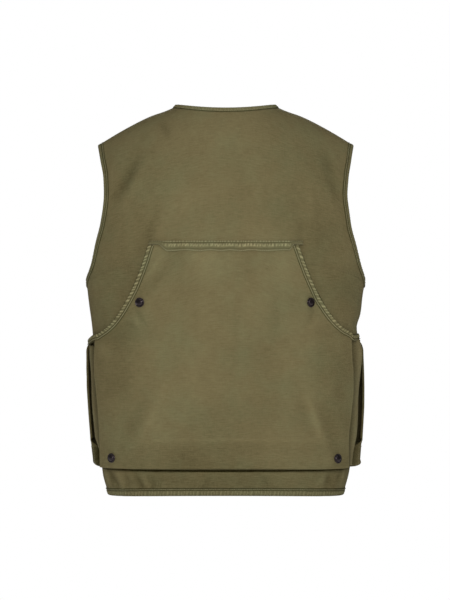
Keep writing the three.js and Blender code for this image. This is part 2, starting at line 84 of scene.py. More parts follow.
# S-shaped step, 0 below low and 1 above high: 3f squared less 2f cubed.
def smoothStep(value, low, high):
    f = np.clip((value - low) / (high - low), 0, 1)
    return f * f * (3 - 2 * f)


# Bell: 1 at the middle, falling as e to the minus square of the distance over the width.
def bell(value, middle, width):
    return np.exp(-(((value - middle) / width) ** 2))


# Two grids of values: the first runs along the rows and the second along the columns.
def gridOf(first, second):
    return np.meshgrid(first, second, indexing="ij")


# Steps from low to high that crowd at both ends: even steps and cosine steps in the share given.
def crowded(low, high, count, share):
    even = np.linspace(0, 1, count)
    return low + (high - low) * ((1 - share) * even + share * (1 - np.cos(np.pi * even)) / 2)


# Vectors cut to length 1.
def unit(vectors):
    return vectors / np.linalg.norm(vectors, axis=-1, keepdims=True)


# Curve through a table's rows: cubic pieces, with the harmonic mean of the slopes beside a row as its slope.
def tableCurve(table, column, at):
    zs, values = np.array(table["z"], float), np.array(table[column], float)
    at = np.clip(at, zs[0], zs[-1])
    chord = np.diff(values) / np.diff(zs)
    before, after = np.append(chord[0], chord), np.append(chord, chord[-1])
    same = before * after > 0
    slope = np.where(same, 2 * before * after / np.where(same, before + after, 1), 0)
    low = np.clip(np.searchsorted(zs, at, side="right") - 1, 0, len(zs) - 2)
    span = zs[low + 1] - zs[low]
    f = (at - zs[low]) / span
    g = 1 - f
    ends = values[low] * g * g * (1 + 2 * f) + values[low + 1] * f * f * (3 - 2 * f)
    return ends + span * f * g * (slope[low] * g - slope[low + 1] * f)


# Top of the shoulders: a low arch over the neck, then a fall that bends down, less a bell beside the neck.
def ridge(x):
    out = np.abs(x) - shoulder["neck"]
    arch = shoulder["fall"] * (shoulder["neck"] ** 2 - x * x) / (2 * shoulder["neck"])
    fall = -(shoulder["fall"] * out + shoulder["bend"] * out * out)
    dip = shoulder["dip"] * bell(np.abs(x), shoulder["dipAt"], shoulder["dipOver"])
    return np.where(out < 0, arch, fall) - dip


# Squared ellipse at a height: angle 0 is the middle back, 90 degrees the right side, 180 the middle front.
# The depth shrinks along a quarter circle towards the ridge of the shoulders.
def formPoint(angle, z, growSide=0.0, growBack=0.0):
    x = (tableCurve(bodyForm, "half", z) + growSide) * signedPower(np.sin(angle), 2 / squareness)
    across = signedPower(np.cos(angle), 2 / squareness)
    depth = np.where(across > 0, tableCurve(bodyForm, "back", z), tableCurve(bodyForm, "front", z)) + growBack
    rounded = quarterRound((ridge(x) - z) / shoulder["round"])
    return np.stack([x, -depth * across * rounded, z + 0 * x], -1)


# Outward direction of a surface: small step around it crossed with a small step up.
def outwardOf(surface, angle, z):
    turn, rise = smallStep["angle"], smallStep["height"]
    around = surface(angle + turn, z) - surface(angle - turn, z)
    return unit(np.cross(around, surface(angle, z + rise) - surface(angle, z - rise)))


# Outward direction of the body, taken a little below the ridge at least.
def bodyOutward(angle, z):
    below = np.minimum(z, ridge(formPoint(angle, z)[..., 0]) - smallStep["underRidge"])
    return outwardOf(formPoint, angle, below)


# Point off the body: its form moved by the lift along its outward direction.
def onBody(angle, z, lift):
    return formPoint(angle, z) + np.asarray(lift)[..., None] * bodyOutward(angle, z)


# Angle from the middle at which a section has this half width: the squared ellipse turned round.
def angleAt(x, z, growSide=0.0):
    share = np.clip(x / (tableCurve(bodyForm, "half", z) + growSide), -1, 1)
    return np.arcsin(signedPower(share, squareness / 2))


# Folds: sum of bells, each stretched along its run. Gives the depth pressed in and the tone, which is painted
# light above 0 and painted shade below it.
def foldSums(folds, x, z):
    f = np.array(folds, float)
    turn = np.radians(f[:, 2])
    dx, dz = x[..., None] - f[:, 0], z[..., None] - f[:, 1]
    along = (dx * np.cos(turn) + dz * np.sin(turn)) / f[:, 3]
    across = (dz * np.cos(turn) - dx * np.sin(turn)) / f[:, 4]
    bells = np.exp(-along**2 - across**2)
    return bells @ f[:, 5], bells @ f[:, 6]


# Low swells of slack cloth: plane waves of fixed direction, length and start, averaged.
def slackCloth(x, z, height):
    turn = np.radians(slackWaves["turn"])
    run = x[..., None] * np.cos(turn) + z[..., None] * np.sin(turn)
    phase = run * 2 * np.pi / np.array(slackWaves["length"]) + np.array(slackWaves["start"])
    return height * np.sin(phase).mean(-1)


# Right side drawn in: points past a half width move inward by a bell over the height.
def settled(points):
    x, z = points[..., 0], points[..., 2]
    pull = drawnIn["depth"] * bell(z, drawnIn["z"], drawnIn["reach"])
    return points - np.stack([pull * smoothStep(x, drawnIn["from"], drawnIn["to"]), 0 * x, 0 * x], -1)


# Mesh making

# Lengths along both ways of a grid, from its middle, and from each of its four edges.
def gridLengths(points):
    u = np.zeros(points.shape[:2])
    v = np.zeros(points.shape[:2])
    u[1:] = np.cumsum(np.linalg.norm(np.diff(points, axis=0), axis=-1), axis=0)
    v[:, 1:] = np.cumsum(np.linalg.norm(np.diff(points, axis=1), axis=-1), axis=1)
    edges = {"first": u, "last": u[-1] - u, "low": v, "high": v[:, -1:] - v}
    return u - u[len(u) // 2], v, edges


# Mesh of points in millimetres and their faces, settled, smooth, and with a map for the cloth.
def meshOf(name, points, faces):
    mesh = bpy.data.meshes.new(name)
    mesh.from_pydata((settled(points).reshape(-1, 3) * mm).tolist(), [], faces)
    mesh.uv_layers.new(name="cloth")
    mesh.shade_smooth()
    return mesh


# Mesh of a grid of points: quads between neighbours, joined round where asked, with end faces on open tubes.
# Its map is the length along the cloth in metres, and its marks are values at the points.
def gridMesh(name, points, ringRows=False, ringColumns=False, caps=False, turned=False, marks=None):
    rows, columns = points.shape[:2]
    index = np.arange(rows * columns).reshape(rows, columns)
    spread = points
    if ringRows:
        index = np.concatenate([index, index[:1]], 0)
        spread = np.concatenate([spread, spread[:1]], 0)
    if ringColumns:
        index = np.concatenate([index, index[:, :1]], 1)
        spread = np.concatenate([spread, spread[:, :1]], 1)
    corner = [(slice(None, -1), slice(None, -1)), (slice(1, None), slice(None, -1)),
              (slice(1, None), slice(1, None)), (slice(None, -1), slice(1, None))]
    quads = np.stack([index[c] for c in corner], -1).reshape(-1, 4)
    u, v, _ = gridLengths(spread)
    flat = np.stack([u, v], -1) * mm
    uvs = np.stack([flat[c] for c in corner], -2).reshape(-1, 4, 2)
    if turned:
        quads, uvs = quads[:, ::-1], uvs[:, ::-1]
    faces, loops = quads.tolist(), uvs.reshape(-1, 2)
    if caps:
        ends = [index[0, :columns], index[-1, :columns][::-1]]
        faces += [end[::-1].tolist() if turned else end.tolist() for end in ends]
        loops = np.concatenate([loops, np.zeros((2 * columns, 2))])
    mesh = meshOf(name, points, faces)
    mesh.uv_layers["cloth"].data.foreach_set("uv", loops.ravel())
    for mark, values in (marks or {}).items():
        perPoint = np.broadcast_to(values, (rows, columns)).astype(np.float32)
        mesh.attributes.new(mark, "FLOAT", "POINT").data.foreach_set("value", perPoint.ravel())
    return mesh


# Object at the origin that holds this data, put into the scene.
def placed(name, data):
    made = bpy.data.objects.new(name, data)
    bpy.context.scene.collection.objects.link(made)
    return made


# Finished piece: its mesh at the origin, riding on the vest, with its material.
def addPiece(name, mesh, material, node=None):
    piece = placed(name, mesh)
    mesh.materials.append(material)
    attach(piece, "root")
    if node:
        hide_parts(node)
    return piece


# Sheet of cloth: the grid given its thickness, half of it on each side.
def addSheet(node, points, material, thick=clothSize["thick"], turned=False, marks=None):
    mesh = gridMesh(node, points, turned=turned, marks=marks)
    piece = addPiece(node + "_cloth", mesh, material, node)
    wall = piece.modifiers.new("thickness", "SOLIDIFY")
    wall.thickness = thick * mm
    wall.offset = 0
    return piece


# Marks of gathered cloth beside sewn edges: 1 at the edge, dying out over the reach.
def seamMarks(points, along=(), up=(), reach=9.0):
    _, _, edges = gridLengths(points)
    level = sum((np.exp(-edges[e] / reach) for e in along), np.zeros(points.shape[:2]))
    upright = sum((np.exp(-edges[e] / reach) for e in up), np.zeros(points.shape[:2]))
    return {"seamAlong": level, "seamUp": upright}


# Length along a path up to each of its points.
def lengthAlong(path):
    return np.append(0, np.cumsum(np.linalg.norm(np.diff(path, axis=0), axis=1)))


# Points and directions set out again at even steps along a path.
def evenly(step, *lists, closed=False):
    lists = [np.concatenate([a, a[:1]]) if closed else a for a in lists]
    length = lengthAlong(lists[0])
    keep = np.append(True, np.diff(length) > tiny)
    length, lists = length[keep], [a[keep] for a in lists]
    count = max(int(round(length[-1] / step)), 2)
    at = np.linspace(0, length[-1], count + 1)[: count if closed else None]
    return [np.stack([np.interp(at, length, a[:, k]) for k in range(3)], 1) for a in lists]


# Direction along a path, by central differences.
def pathDirection(path, closed):
    if closed:
        return unit(np.roll(path, -1, 0) - np.roll(path, 1, 0))
    return unit(np.gradient(path, axis=0))


# Materials

canvasLook = {"dark": (0.1155, 0.095, 0.043), "light": (0.2238, 0.185, 0.0900), "roughness": 0.95}
# A darker copy of the canvas: painted shade, used for the pouch's base under the pouch.
shadeLook = {"dark": (0.064, 0.054, 0.027), "light": (0.128, 0.110, 0.056), "roughness": 0.95}
tapeLook = {"dark": (0.092, 0.081, 0.037), "light": (0.226, 0.200, 0.101), "roughness": 0.95}
threadLook = {"dark": (0.190, 0.170, 0.092), "light": (0.300, 0.270, 0.160), "roughness": 0.85}
snapLook = {"dark": (0.006, 0.004, 0.005), "light": (0.052, 0.038, 0.040), "roughness": 0.12,
            "metallic": 0.75, "grain": (900, 4), "grainTone": 0.5, "grainRoughness": 0.25, "relief": 0.00015,
            "strength": 0.4}
clothLook = {"middle": 0.5, "fold": 0.8, "gather": 0.2, "darkest": -0.95, "dyeRelief": 0.4, "shine": 0.12,
             "relief": 0.001, "strength": 0.8, "specular": 0.06}
weaveLook = {"warp": 0.0011, "weft": 0.00125,  # metres from thread to thread
             "slub": (68, 560, 1), "warpSlub": (520, 60, 1), "warpShare": 0.22, "middle": 0.61,
             "threadHeight": 0.1, "slubHeight": 0.9, "slubNoise": (1, 3, 0.6), "warpNoise": (1, 2)}
# Noises are given by scale, detail and roughness, those of the wash by weight as well.
washNoises = (((6.5, 2, 0.6), 0.9), ((34, 3, 0.6), 0.55), ((190, 3, 0.6), 0.35), ((430, 2, 0.6), 0.4))
greenLook = {"tint": (0.91, 1.0, 1.01), "noise": (17, 3, 0.6), "gain": 3.2, "start": -1.3}  # greener patches
gatherLook = {"length": 0.0085, "bendNoise": (60, 2), "bend": 22, "patchNoise": (23, 1), "gain": 4.0,
              "start": -1.7}


# New material with its node tree and its main shader.
def newMaterial(name):
    material = bpy.data.materials.new(name)
    material.use_nodes = True
    return material, material.node_tree, material.node_tree.nodes["Principled BSDF"]


# Adds a node, sets its inputs by name or number, and links those that are sockets.
def addNode(tree, kind, inputs=None, **settings):
    node = tree.nodes.new(kind)
    for key, value in settings.items():
        setattr(node, key, value)
    for key, value in (inputs or {}).items():
        if isinstance(value, bpy.types.NodeSocket):
            tree.links.new(value, node.inputs[key])
        else:
            node.inputs[key].default_value = value
    return node


# One operation on up to three values or sockets, as a socket.
def mathNode(tree, operation, a, b=0.0, c=0.0):
    return addNode(tree, "ShaderNodeMath", {0: a, 1: b, 2: c}, operation=operation).outputs[0]


# Sockets added up one after another.
def addedUp(tree, parts):
    total = parts[0]
    for part in parts[1:]:
        total = mathNode(tree, "ADD", total, part)
    return total


# Noise at a place, as a socket between 0 and 1.
def noiseNode(tree, place, scale, detail, roughness=0.5):
    inputs = {"Vector": place, "Scale": scale, "Detail": detail, "Roughness": roughness}
    return addNode(tree, "ShaderNodeTexNoise", inputs).outputs["Fac"]


# Two colours, given or as sockets, mixed by a factor in the way that the settings say.
def mixColours(tree, factor, colours, **settings):
    mix = addNode(tree, "ShaderNodeMix", {"Factor": factor}, data_type="RGBA", **settings)
    for socket, colour in zip([s for s in mix.inputs if s.type == "RGBA"], colours):
        if isinstance(colour, bpy.types.NodeSocket):
            tree.links.new(colour, socket)
        else:
            socket.default_value = (*colour, 1)
    return [s for s in mix.outputs if s.type == "RGBA"][0]


# Bump of a height on the main shader, as deep and strong as the look says.
def addBump(tree, shader, height, look):
    inputs = {"Height": height, "Distance": look["relief"], "Strength": look["strength"]}
    tree.links.new(addNode(tree, "ShaderNodeBump", inputs).outputs[0], shader.inputs["Normal"])


# Group with named sockets: (name, type, default) for each input, (name, type) for each output.
def newGroup(name, takes, gives):
    group = bpy.data.node_groups.new(name, "ShaderNodeTree")
    for label, kind, default in takes:
        socket = group.interface.new_socket(label, in_out="INPUT", socket_type="NodeSocket" + kind)
        if default is not None:
            socket.default_value = default
    for label, kind in gives:
        group.interface.new_socket(label, in_out="OUTPUT", socket_type="NodeSocket" + kind)
    return group, group.nodes.new("NodeGroupInput").outputs, group.nodes.new("NodeGroupOutput").inputs


# Canvas weave on the cloth's map: crossed thread waves, and slubs as noise stretched along weft and warp.
def makeWeave():
    group, given, out = newGroup("canvas weave", [("Map", "Vector", None)],
                                 [("Height", "Float"), ("Tone", "Float")])
    parts = addNode(group, "ShaderNodeSeparateXYZ", {0: given["Map"]}).outputs
    warp = mathNode(group, "SINE", mathNode(group, "MULTIPLY", parts["X"], 2 * np.pi / weaveLook["warp"]))
    weft = mathNode(group, "SINE", mathNode(group, "MULTIPLY", parts["Y"], 2 * np.pi / weaveLook["weft"]))
    threads = mathNode(group, "MULTIPLY", warp, weft)
    level, upright = [addNode(group, "ShaderNodeMapping", {"Vector": given["Map"], "Scale": scale}).outputs[0]
                      for scale in (weaveLook["slub"], weaveLook["warpSlub"])]
    slub = noiseNode(group, level, *weaveLook["slubNoise"])
    warpSlub = noiseNode(group, upright, *weaveLook["warpNoise"])
    both = mathNode(group, "MULTIPLY_ADD", warpSlub, weaveLook["warpShare"], slub)
    tone = mathNode(group, "SUBTRACT", both, weaveLook["middle"])
    group.links.new(tone, out["Tone"])
    height = mathNode(group, "MULTIPLY", tone, weaveLook["slubHeight"])
    height = mathNode(group, "MULTIPLY_ADD", threads, weaveLook["threadHeight"], height)
    group.links.new(height, out["Height"])
    return group


# Washed dye: broad to fine noise on the object's own axes, added up about 0, and patches of greener dye.
def makeWash():
    group, given, out = newGroup("washed dye", [("Place", "Vector", None)],
                                 [("Tone", "Float"), ("Green", "Float")])
    parts = []
    for noise, weight in washNoises:
        about = mathNode(group, "SUBTRACT", noiseNode(group, given["Place"], *noise), 0.5)
        parts.append(mathNode(group, "MULTIPLY", about, weight))
    group.links.new(addedUp(group, parts), out["Tone"])
    patch = noiseNode(group, given["Place"], *greenLook["noise"])
    patch = mathNode(group, "MULTIPLY_ADD", patch, greenLook["gain"], greenLook["start"])
    group.links.new(patch, out["Green"])
    return group


# Gathers beside a seam: waves along the edge, bent by noise and present only in patches of a broader noise,
# as high as the marks on the cloth say.
def makeGathers():
    group, given, out = newGroup("seam gathers", [("Map", "Vector", None), ("Along", "Float", 0.0),
                                                  ("Up", "Float", 0.0)], [("Height", "Float")])
    bend = noiseNode(group, given["Map"], *gatherLook["bendNoise"])
    bend = mathNode(group, "MULTIPLY", bend, gatherLook["bend"])
    patch = noiseNode(group, given["Map"], *gatherLook["patchNoise"])
    patch = mathNode(group, "MULTIPLY_ADD", patch, gatherLook["gain"], gatherLook["start"])
    share = mathNode(group, "MAXIMUM", patch, 0.0)
    axes = addNode(group, "ShaderNodeSeparateXYZ", {0: given["Map"]}).outputs
    waves = []
    for axis, mark in (("X", "Along"), ("Y", "Up")):
        turns = mathNode(group, "MULTIPLY_ADD", axes[axis], 2 * np.pi / gatherLook["length"], bend)
        waves.append(mathNode(group, "MULTIPLY", mathNode(group, "SINE", turns), given[mark]))
    group.links.new(mathNode(group, "MULTIPLY", addedUp(group, waves), share), out["Height"])
    return group


groups = {"weave": makeWeave(), "wash": makeWash(), "gathers": makeGathers()}


# Cloth: dark and light dye mixed by wash, slub, the tone mark and the gathers' height, with weave and gathers
# as bump. The tone mark holds painted light and shade, and wear on the tapes; the gathers' height adds
# painted shade in their hollows and painted highlight on their crests.
def clothMaterial(name, look, slub=0.85, wash=0.75, gathers=0.3):
    material, tree, shader = newMaterial(name)
    clothMap = addNode(tree, "ShaderNodeUVMap", uv_map="cloth").outputs["UV"]
    place = addNode(tree, "ShaderNodeTexCoord").outputs["Object"]
    mark = {key: addNode(tree, "ShaderNodeAttribute", attribute_name=key).outputs["Fac"]
            for key in ("tone", "seamAlong", "seamUp")}
    weave = addNode(tree, "ShaderNodeGroup", {"Map": clothMap}, node_tree=groups["weave"]).outputs
    dye = addNode(tree, "ShaderNodeGroup", {"Place": place}, node_tree=groups["wash"]).outputs
    seams = {"Map": clothMap, "Along": mark["seamAlong"], "Up": mark["seamUp"]}
    pucker = addNode(tree, "ShaderNodeGroup", seams, node_tree=groups["gathers"]).outputs["Height"]
    tone = clothLook["middle"]
    for part, weight in ((weave["Tone"], slub), (dye["Tone"], wash), (mark["tone"], clothLook["fold"]),
                         (pucker, clothLook["gather"])):
        tone = mathNode(tree, "MULTIPLY_ADD", part, weight, tone)
    # This floor on the tone lets the painted shadow line under the pouch go nearly black.
    tone = mathNode(tree, "MAXIMUM", tone, clothLook["darkest"])
    colour = mixColours(tree, tone, (look["dark"], look["light"]), clamp_factor=False)
    colour = mixColours(tree, dye["Green"], (colour, greenLook["tint"]), blend_type="MULTIPLY")
    tree.links.new(colour, shader.inputs["Base Color"])
    height = mathNode(tree, "MULTIPLY_ADD", pucker, gathers, weave["Height"])
    height = mathNode(tree, "MULTIPLY_ADD", dye["Tone"], clothLook["dyeRelief"], height)
    addBump(tree, shader, height, clothLook)
    rough = mathNode(tree, "MULTIPLY_ADD", weave["Tone"], clothLook["shine"], look["roughness"])
    tree.links.new(rough, shader.inputs["Roughness"])
    shader.inputs["Specular IOR Level"].default_value = clothLook["specular"]
    return material


# Dark burnished metal: noise and the marks of wear and painted shade mix two browns, and roughen the shine.
def snapMaterial():
    material, tree, shader = newMaterial("snap metal")
    place = addNode(tree, "ShaderNodeTexCoord").outputs["Object"]
    grain = noiseNode(tree, place, *snapLook["grain"])
    wearAndPaintedLight = addNode(tree, "ShaderNodeAttribute", attribute_name="tone").outputs["Fac"]
    mix = mathNode(tree, "MULTIPLY_ADD", grain, snapLook["grainTone"], wearAndPaintedLight)
    tree.links.new(mixColours(tree, mix, (snapLook["dark"], snapLook["light"])), shader.inputs["Base Color"])
    rough = mathNode(tree, "MULTIPLY_ADD", grain, snapLook["grainRoughness"], snapLook["roughness"])
    tree.links.new(rough, shader.inputs["Roughness"])
    addBump(tree, shader, grain, snapLook)
    shader.inputs["Metallic"].default_value = snapLook["metallic"]
    return material


canvas = clothMaterial("olive canvas", canvasLook)
shadeCanvas = clothMaterial("olive canvas shaded copy", shadeLook)
tape = clothMaterial("worn edge tape", tapeLook, slub=0.5, wash=0.5, gathers=0)
thread = clothMaterial("sewing thread", threadLook, slub=0.1, wash=0.9, gathers=0)
snapMetal = snapMaterial()
print("materials made")


# Back panel

panelCalm = {"hem": 0.08, "top": 0.1}  # shares of the height over which the slack dies out
backPanel = {"columns": 52, "shoulderColumns": 48, "rowsBelow": (8, 34, 62), "rowsBeside": 126, "slack": 1.8}
# Its tone is painted light: shade in creases, on the sides, on the strip under the pouch and as the shadow
# line under the pouch's lower edge, and light on ridges. Rows that press nothing in are only painted shade.
backFoldsAndShade = [  # x, z, turn from level, length, width, pressed in, tone
    (-163.5, -125, 62, 40, 11, 4.4, -0.58), (-148, -128, 64, 34, 11, -1.2, 0.12),
    (166.7, -96, 115, 17, 9, 2.2, -0.3), (178, -136, 113, 28, 10, 2.8, -0.32),
    (136, -166, 90, 42, 13, -1.6, 0.12), (121.5, -216, 88, 34, 9, 1.6, -0.18),
    (-162, -214, 70, 46, 22, -2.0, 0.12), (-121, -205, 73, 30, 8, 2.2, -0.28),
    (-99.7, -40, 110, 15, 7, 1.8, -0.26), (23, -150, 85, 42, 13, 1.0, -0.1),
    (0, -190, 90, 70, 70, -2.0, 0.04), (-181, -612, 120, 17, 4, 2.2, -0.45),
    (-171, -611, 112, 15, 5, -1.6, 0.26), (-160, -612, 105, 12, 4, 1.5, -0.32),
    (-140, -613, 118, 16, 4.5, 2.2, -0.45), (-131, -609, 115, 13, 5, -1.4, 0.26),
    (-118, -614, 100, 10, 6, 1.4, -0.26), (-30, -612, 60, 14, 6, 1.2, -0.24),
    (64, -611, 120, 14, 6, 1.2, -0.24), (155, -610, 70, 14, 6, -1.4, 0.24),
    (166, -613, 74, 15, 5, 1.7, -0.34), (-193, -608, 104, 15, 2.4, -0.4, 0.45),
    (-187, -608, 104, 15, 3, 0.6, -0.3), (190, -608, 76, 15, 2.4, -0.4, 0.4),
    (183, -608, 77, 14, 3, 0.6, -0.25), (-150, -215, 85, 115, 48, 0, -0.4),
    (150, -215, 95, 115, 48, 0, -0.42), (-150, -612, 0, 60, 22, 0, -0.12), (0, -614, 0, 260, 22, 0, -0.4),
    (196, -306, 88, 40, 30, 0, -0.38), (0, -594.8, 0, 420, 1.8, 0, -1.7),
]
closeRows = (0.033, 0.085)  # shares of the height between which the lower edge of the pouch lies
topRounds = 12  # rounds in which the height of a panel's top edge settles
tipHeight = float(ridge(np.array(shoulder["tip"])))
neckHeight = float(ridge(np.array(neckLine["half"]))) + neckLine["stand"]


# Angle of a panel's side edge at a share of the height: the side seam, then the armhole's table.
def edgeAngle(t, side):
    z = hemLine["z"] + t * (tipHeight - hemLine["z"])
    return np.where(z < underarm + tiny, np.pi / 2, angleAt(tableCurve(armLine, side, z), z))


# Back neckline: a shallow parabola between the two neck points.
def backNeck(x):
    return neckHeight - neckLine["backDrop"] * (1 - (x / neckLine["half"]) ** 2)


# Front neckline: two straight slopes of a V with a short flat foot.
def frontNeck(x):
    share = np.maximum(x - neckLine["vHalf"], 0) / (neckLine["half"] - neckLine["vHalf"])
    return neckLine["vBottom"] + share * (neckHeight - neckLine["vBottom"])


# Height of a panel's top edge, found by rounds of height, half width, height.
def topHeight(s, neckCurve):
    turn = np.abs(s) * edgeAngle(np.array(1.0), "back")
    z = 0.0 * turn
    for _ in range(topRounds):
        x = tableCurve(bodyForm, "half", z) * np.sin(turn) ** (2 / squareness)
        z = np.where(x < neckLine["half"] + tiny, neckCurve(x), ridge(x))
    return z


# Share of the slack at share t up a panel: 0 at its hem and top, 1 between them.
def calmAt(t):
    return smoothStep(t, 0, panelCalm["hem"]) * smoothStep(1 - t, 0, panelCalm["top"])


# Back cloth at share s across and t up: the body's form, with folds and slack pressed along its direction,
# and the painted light and shade of the fold table as its tone.
def backSheet(s, t):
    angle = s * edgeAngle(t, "back")
    low = hemLine["z"] + hemLine["backRise"] * np.cos(angle) ** 2
    z = low + t * (topHeight(s, backNeck) - low)
    point, out = formPoint(angle, z), bodyOutward(angle, z)
    pressed, tone = foldSums(backFoldsAndShade, point[..., 0], z)
    lift = slackCloth(point[..., 0], z, backPanel["slack"]) * calmAt(t) - pressed
    point = point + lift[..., None] * out
    point[..., 1] = np.minimum(point[..., 1], -clothSize["seam"])
    return point, out, tone


# Columns even across the squared ellipse, with one on the neck point, and rows that crowd at the shoulder.
def panelShares(panel):
    even = squareness / 2
    neck = float(angleAt(np.array(neckLine["half"]), neckHeight) / edgeAngle(np.array(1.0), "back"))
    half = np.concatenate([np.linspace(0, neck ** (1 / even), panel["columns"])[:-1],
                           np.linspace(neck ** (1 / even), 1, panel["shoulderColumns"])]) ** even
    split = (underarm - hemLine["z"]) / (tipHeight - hemLine["z"])
    crowd = split + (1 - split) * np.sin(np.linspace(0, np.pi / 2, panel["rowsBeside"]))
    stops = (0, *closeRows, split)
    below = [np.linspace(a, b, n, endpoint=False) for a, b, n in zip(stops, stops[1:], panel["rowsBelow"])]
    return half, np.concatenate([*below, crowd]), neck, split


halfShares, rowShares, neckShare, underarmShare = panelShares(backPanel)
backShares = np.concatenate([-halfShares[:0:-1], halfShares])
backGrid = gridOf(backShares, rowShares)
backPoints, _, backPaintedShade = backSheet(*backGrid)
backMarks = {"tone": backPaintedShade, **seamMarks(backPoints, along=("low", "high"))}
back = addSheet("back_panel", backPoints, canvas, marks=backMarks)
print("back panel made")


# Front panels

frontPanel = {"columns": 30, "shoulderColumns": 30, "rowsBelow": (4, 8, 42), "rowsBeside": 70, "slack": 1.2,
              "slackShift": 90, "slackFrom": 0.05, "slackTo": 0.2}


# Front cloth, mirrored by side: the body's form from the middle front out, under the slope of the V.
def frontSheet(s, t, side):
    least = angleAt(np.array(neckLine["middle"]), neckLine["vBottom"])
    angle = np.pi - np.maximum(s * edgeAngle(t, "front"), least)
    z = hemLine["z"] + t * (topHeight(s, frontNeck) - hemLine["z"])
    point, out = formPoint(angle, z), bodyOutward(angle, z)
    slack = slackCloth(side * point[..., 0], z + frontPanel["slackShift"], frontPanel["slack"])
    slack = slack * calmAt(t) * smoothStep(s, frontPanel["slackFrom"], frontPanel["slackTo"])
    point = point + slack[..., None] * out
    point[..., 1] = np.maximum(point[..., 1], clothSize["seam"])
    mirror = np.array([side, 1, 1])
    return point * mirror, out * mirror


frontShares, frontRows, _, _ = panelShares(frontPanel)
frontGrid = gridOf(frontShares, frontRows)
for name, side in sides.items():
    points, _ = frontSheet(*frontGrid, side)
    marks = seamMarks(points, along=("low", "high"), up=("last",))
    addSheet("front_panel_" + name, points, canvas, turned=side > 0, marks=marks)
print("front panels made")


# Edge tapes

tapeForm = {"half": 2.1, "slot": 1.15, "slotShade": -0.6, "wrap": 0.4, "step": 1.5, "samples": 21,
            "crowd": 0.5, "edgePower": 9, "lipThin": 0.3, "lipPower": 12, "lipLine": 0.7, "line": 0.8,
            "groove": 0.6, "pucker": 0.45, "underShare": 0.5, "ropeFrom": 0.4, "ropeTo": 2, "ropeEnd": 1.5,
            "endRound": 7, "endLeast": 0.35, "crest": 0.75, "crestPower": 1.5, "crestLess": 0.05,
            "stitchWear": 0.4}
# The puckers' crests are lightened as wear with a painted highlight; the sunk lines, the slot inside and the
# rim are darkened as painted shade.
tapeEdges = {  # reach past the edge, lips on the cloth, share it stands up, spacing, slant and wear of its
    # puckers, how far past the edge its stitches and its second sunk line run, its tone, and its rim's shade
    "neck": {"reach": 7, "lip": 1.6, "rise": 0.35, "spacing": 5.4, "slant": 0.25, "wearAndHighlight": 0.5, "stitch": 1.0,
             "second": -0.3, "tone": 0.02, "rimShade": 0, "rimWidth": 1},
    "armhole": {"reach": 9, "lip": 2.4, "rise": 0, "spacing": 5.4, "slant": 0.25, "wearAndHighlight": 0.5, "stitch": 0.2,
                "second": 1.8, "tone": -0.15, "rimShade": 0, "rimWidth": 1},
    "hem": {"reach": 9, "lip": 4, "rise": 0, "spacing": 5.4, "slant": 0.2, "wearAndHighlight": 0.85, "stitch": -1.8,
            "second": -0.4, "tone": -0.15, "rimShade": 0.45, "rimWidth": 5},
    "entry": {"reach": 7.6, "lip": 3.2, "rise": 0, "spacing": 6.8, "slant": 0.8, "wearAndHighlight": 2.5, "stitch": -0.9,
              "second": 0.6, "tone": 0.0, "rimShade": 1.2, "rimWidth": 1.8},
}
underarmPatch = {"lip": 6.5, "from": -281, "to": -293}  # the armhole tape's ends lap over each other there
shoulderThin = {"share": 0.32, "from": -98, "to": -66}  # the armhole tape is flatter at the shoulder
stitchForm = {"pitch": 3.1, "length": 2.4, "radius": 0.4, "around": 6, "lift": 0.1}
stitchRings = np.array([(-0.5, 0.3), (-0.28, 1), (0.28, 1), (0.5, 0.3)])  # shares of length and radius
puckerSwings = ((1.3, 43, 1), (0.9, 17.3, 2))  # height, length, share of the start
tapeAims = {"armhole": (280, 0, -160), "neck": (0, 0, 60)}  # places on the open side of the edges
hemMeets = 0.05  # share left of the gap between the hem tape's ends at the middle front
vPoints = 60  # along each slope of the V
onCloth = clothSize["thick"] / 2  # from the middle of a cloth to its face


# Uneven waves along a length: a sine whose phase swings with slower sines.
def puckerWave(length, spacing, start):
    swing = sum(h * np.sin(length * 2 * np.pi / span + turns * start) for h, span, turns in puckerSwings)
    return np.sin(length * 2 * np.pi / spacing + swing + start)
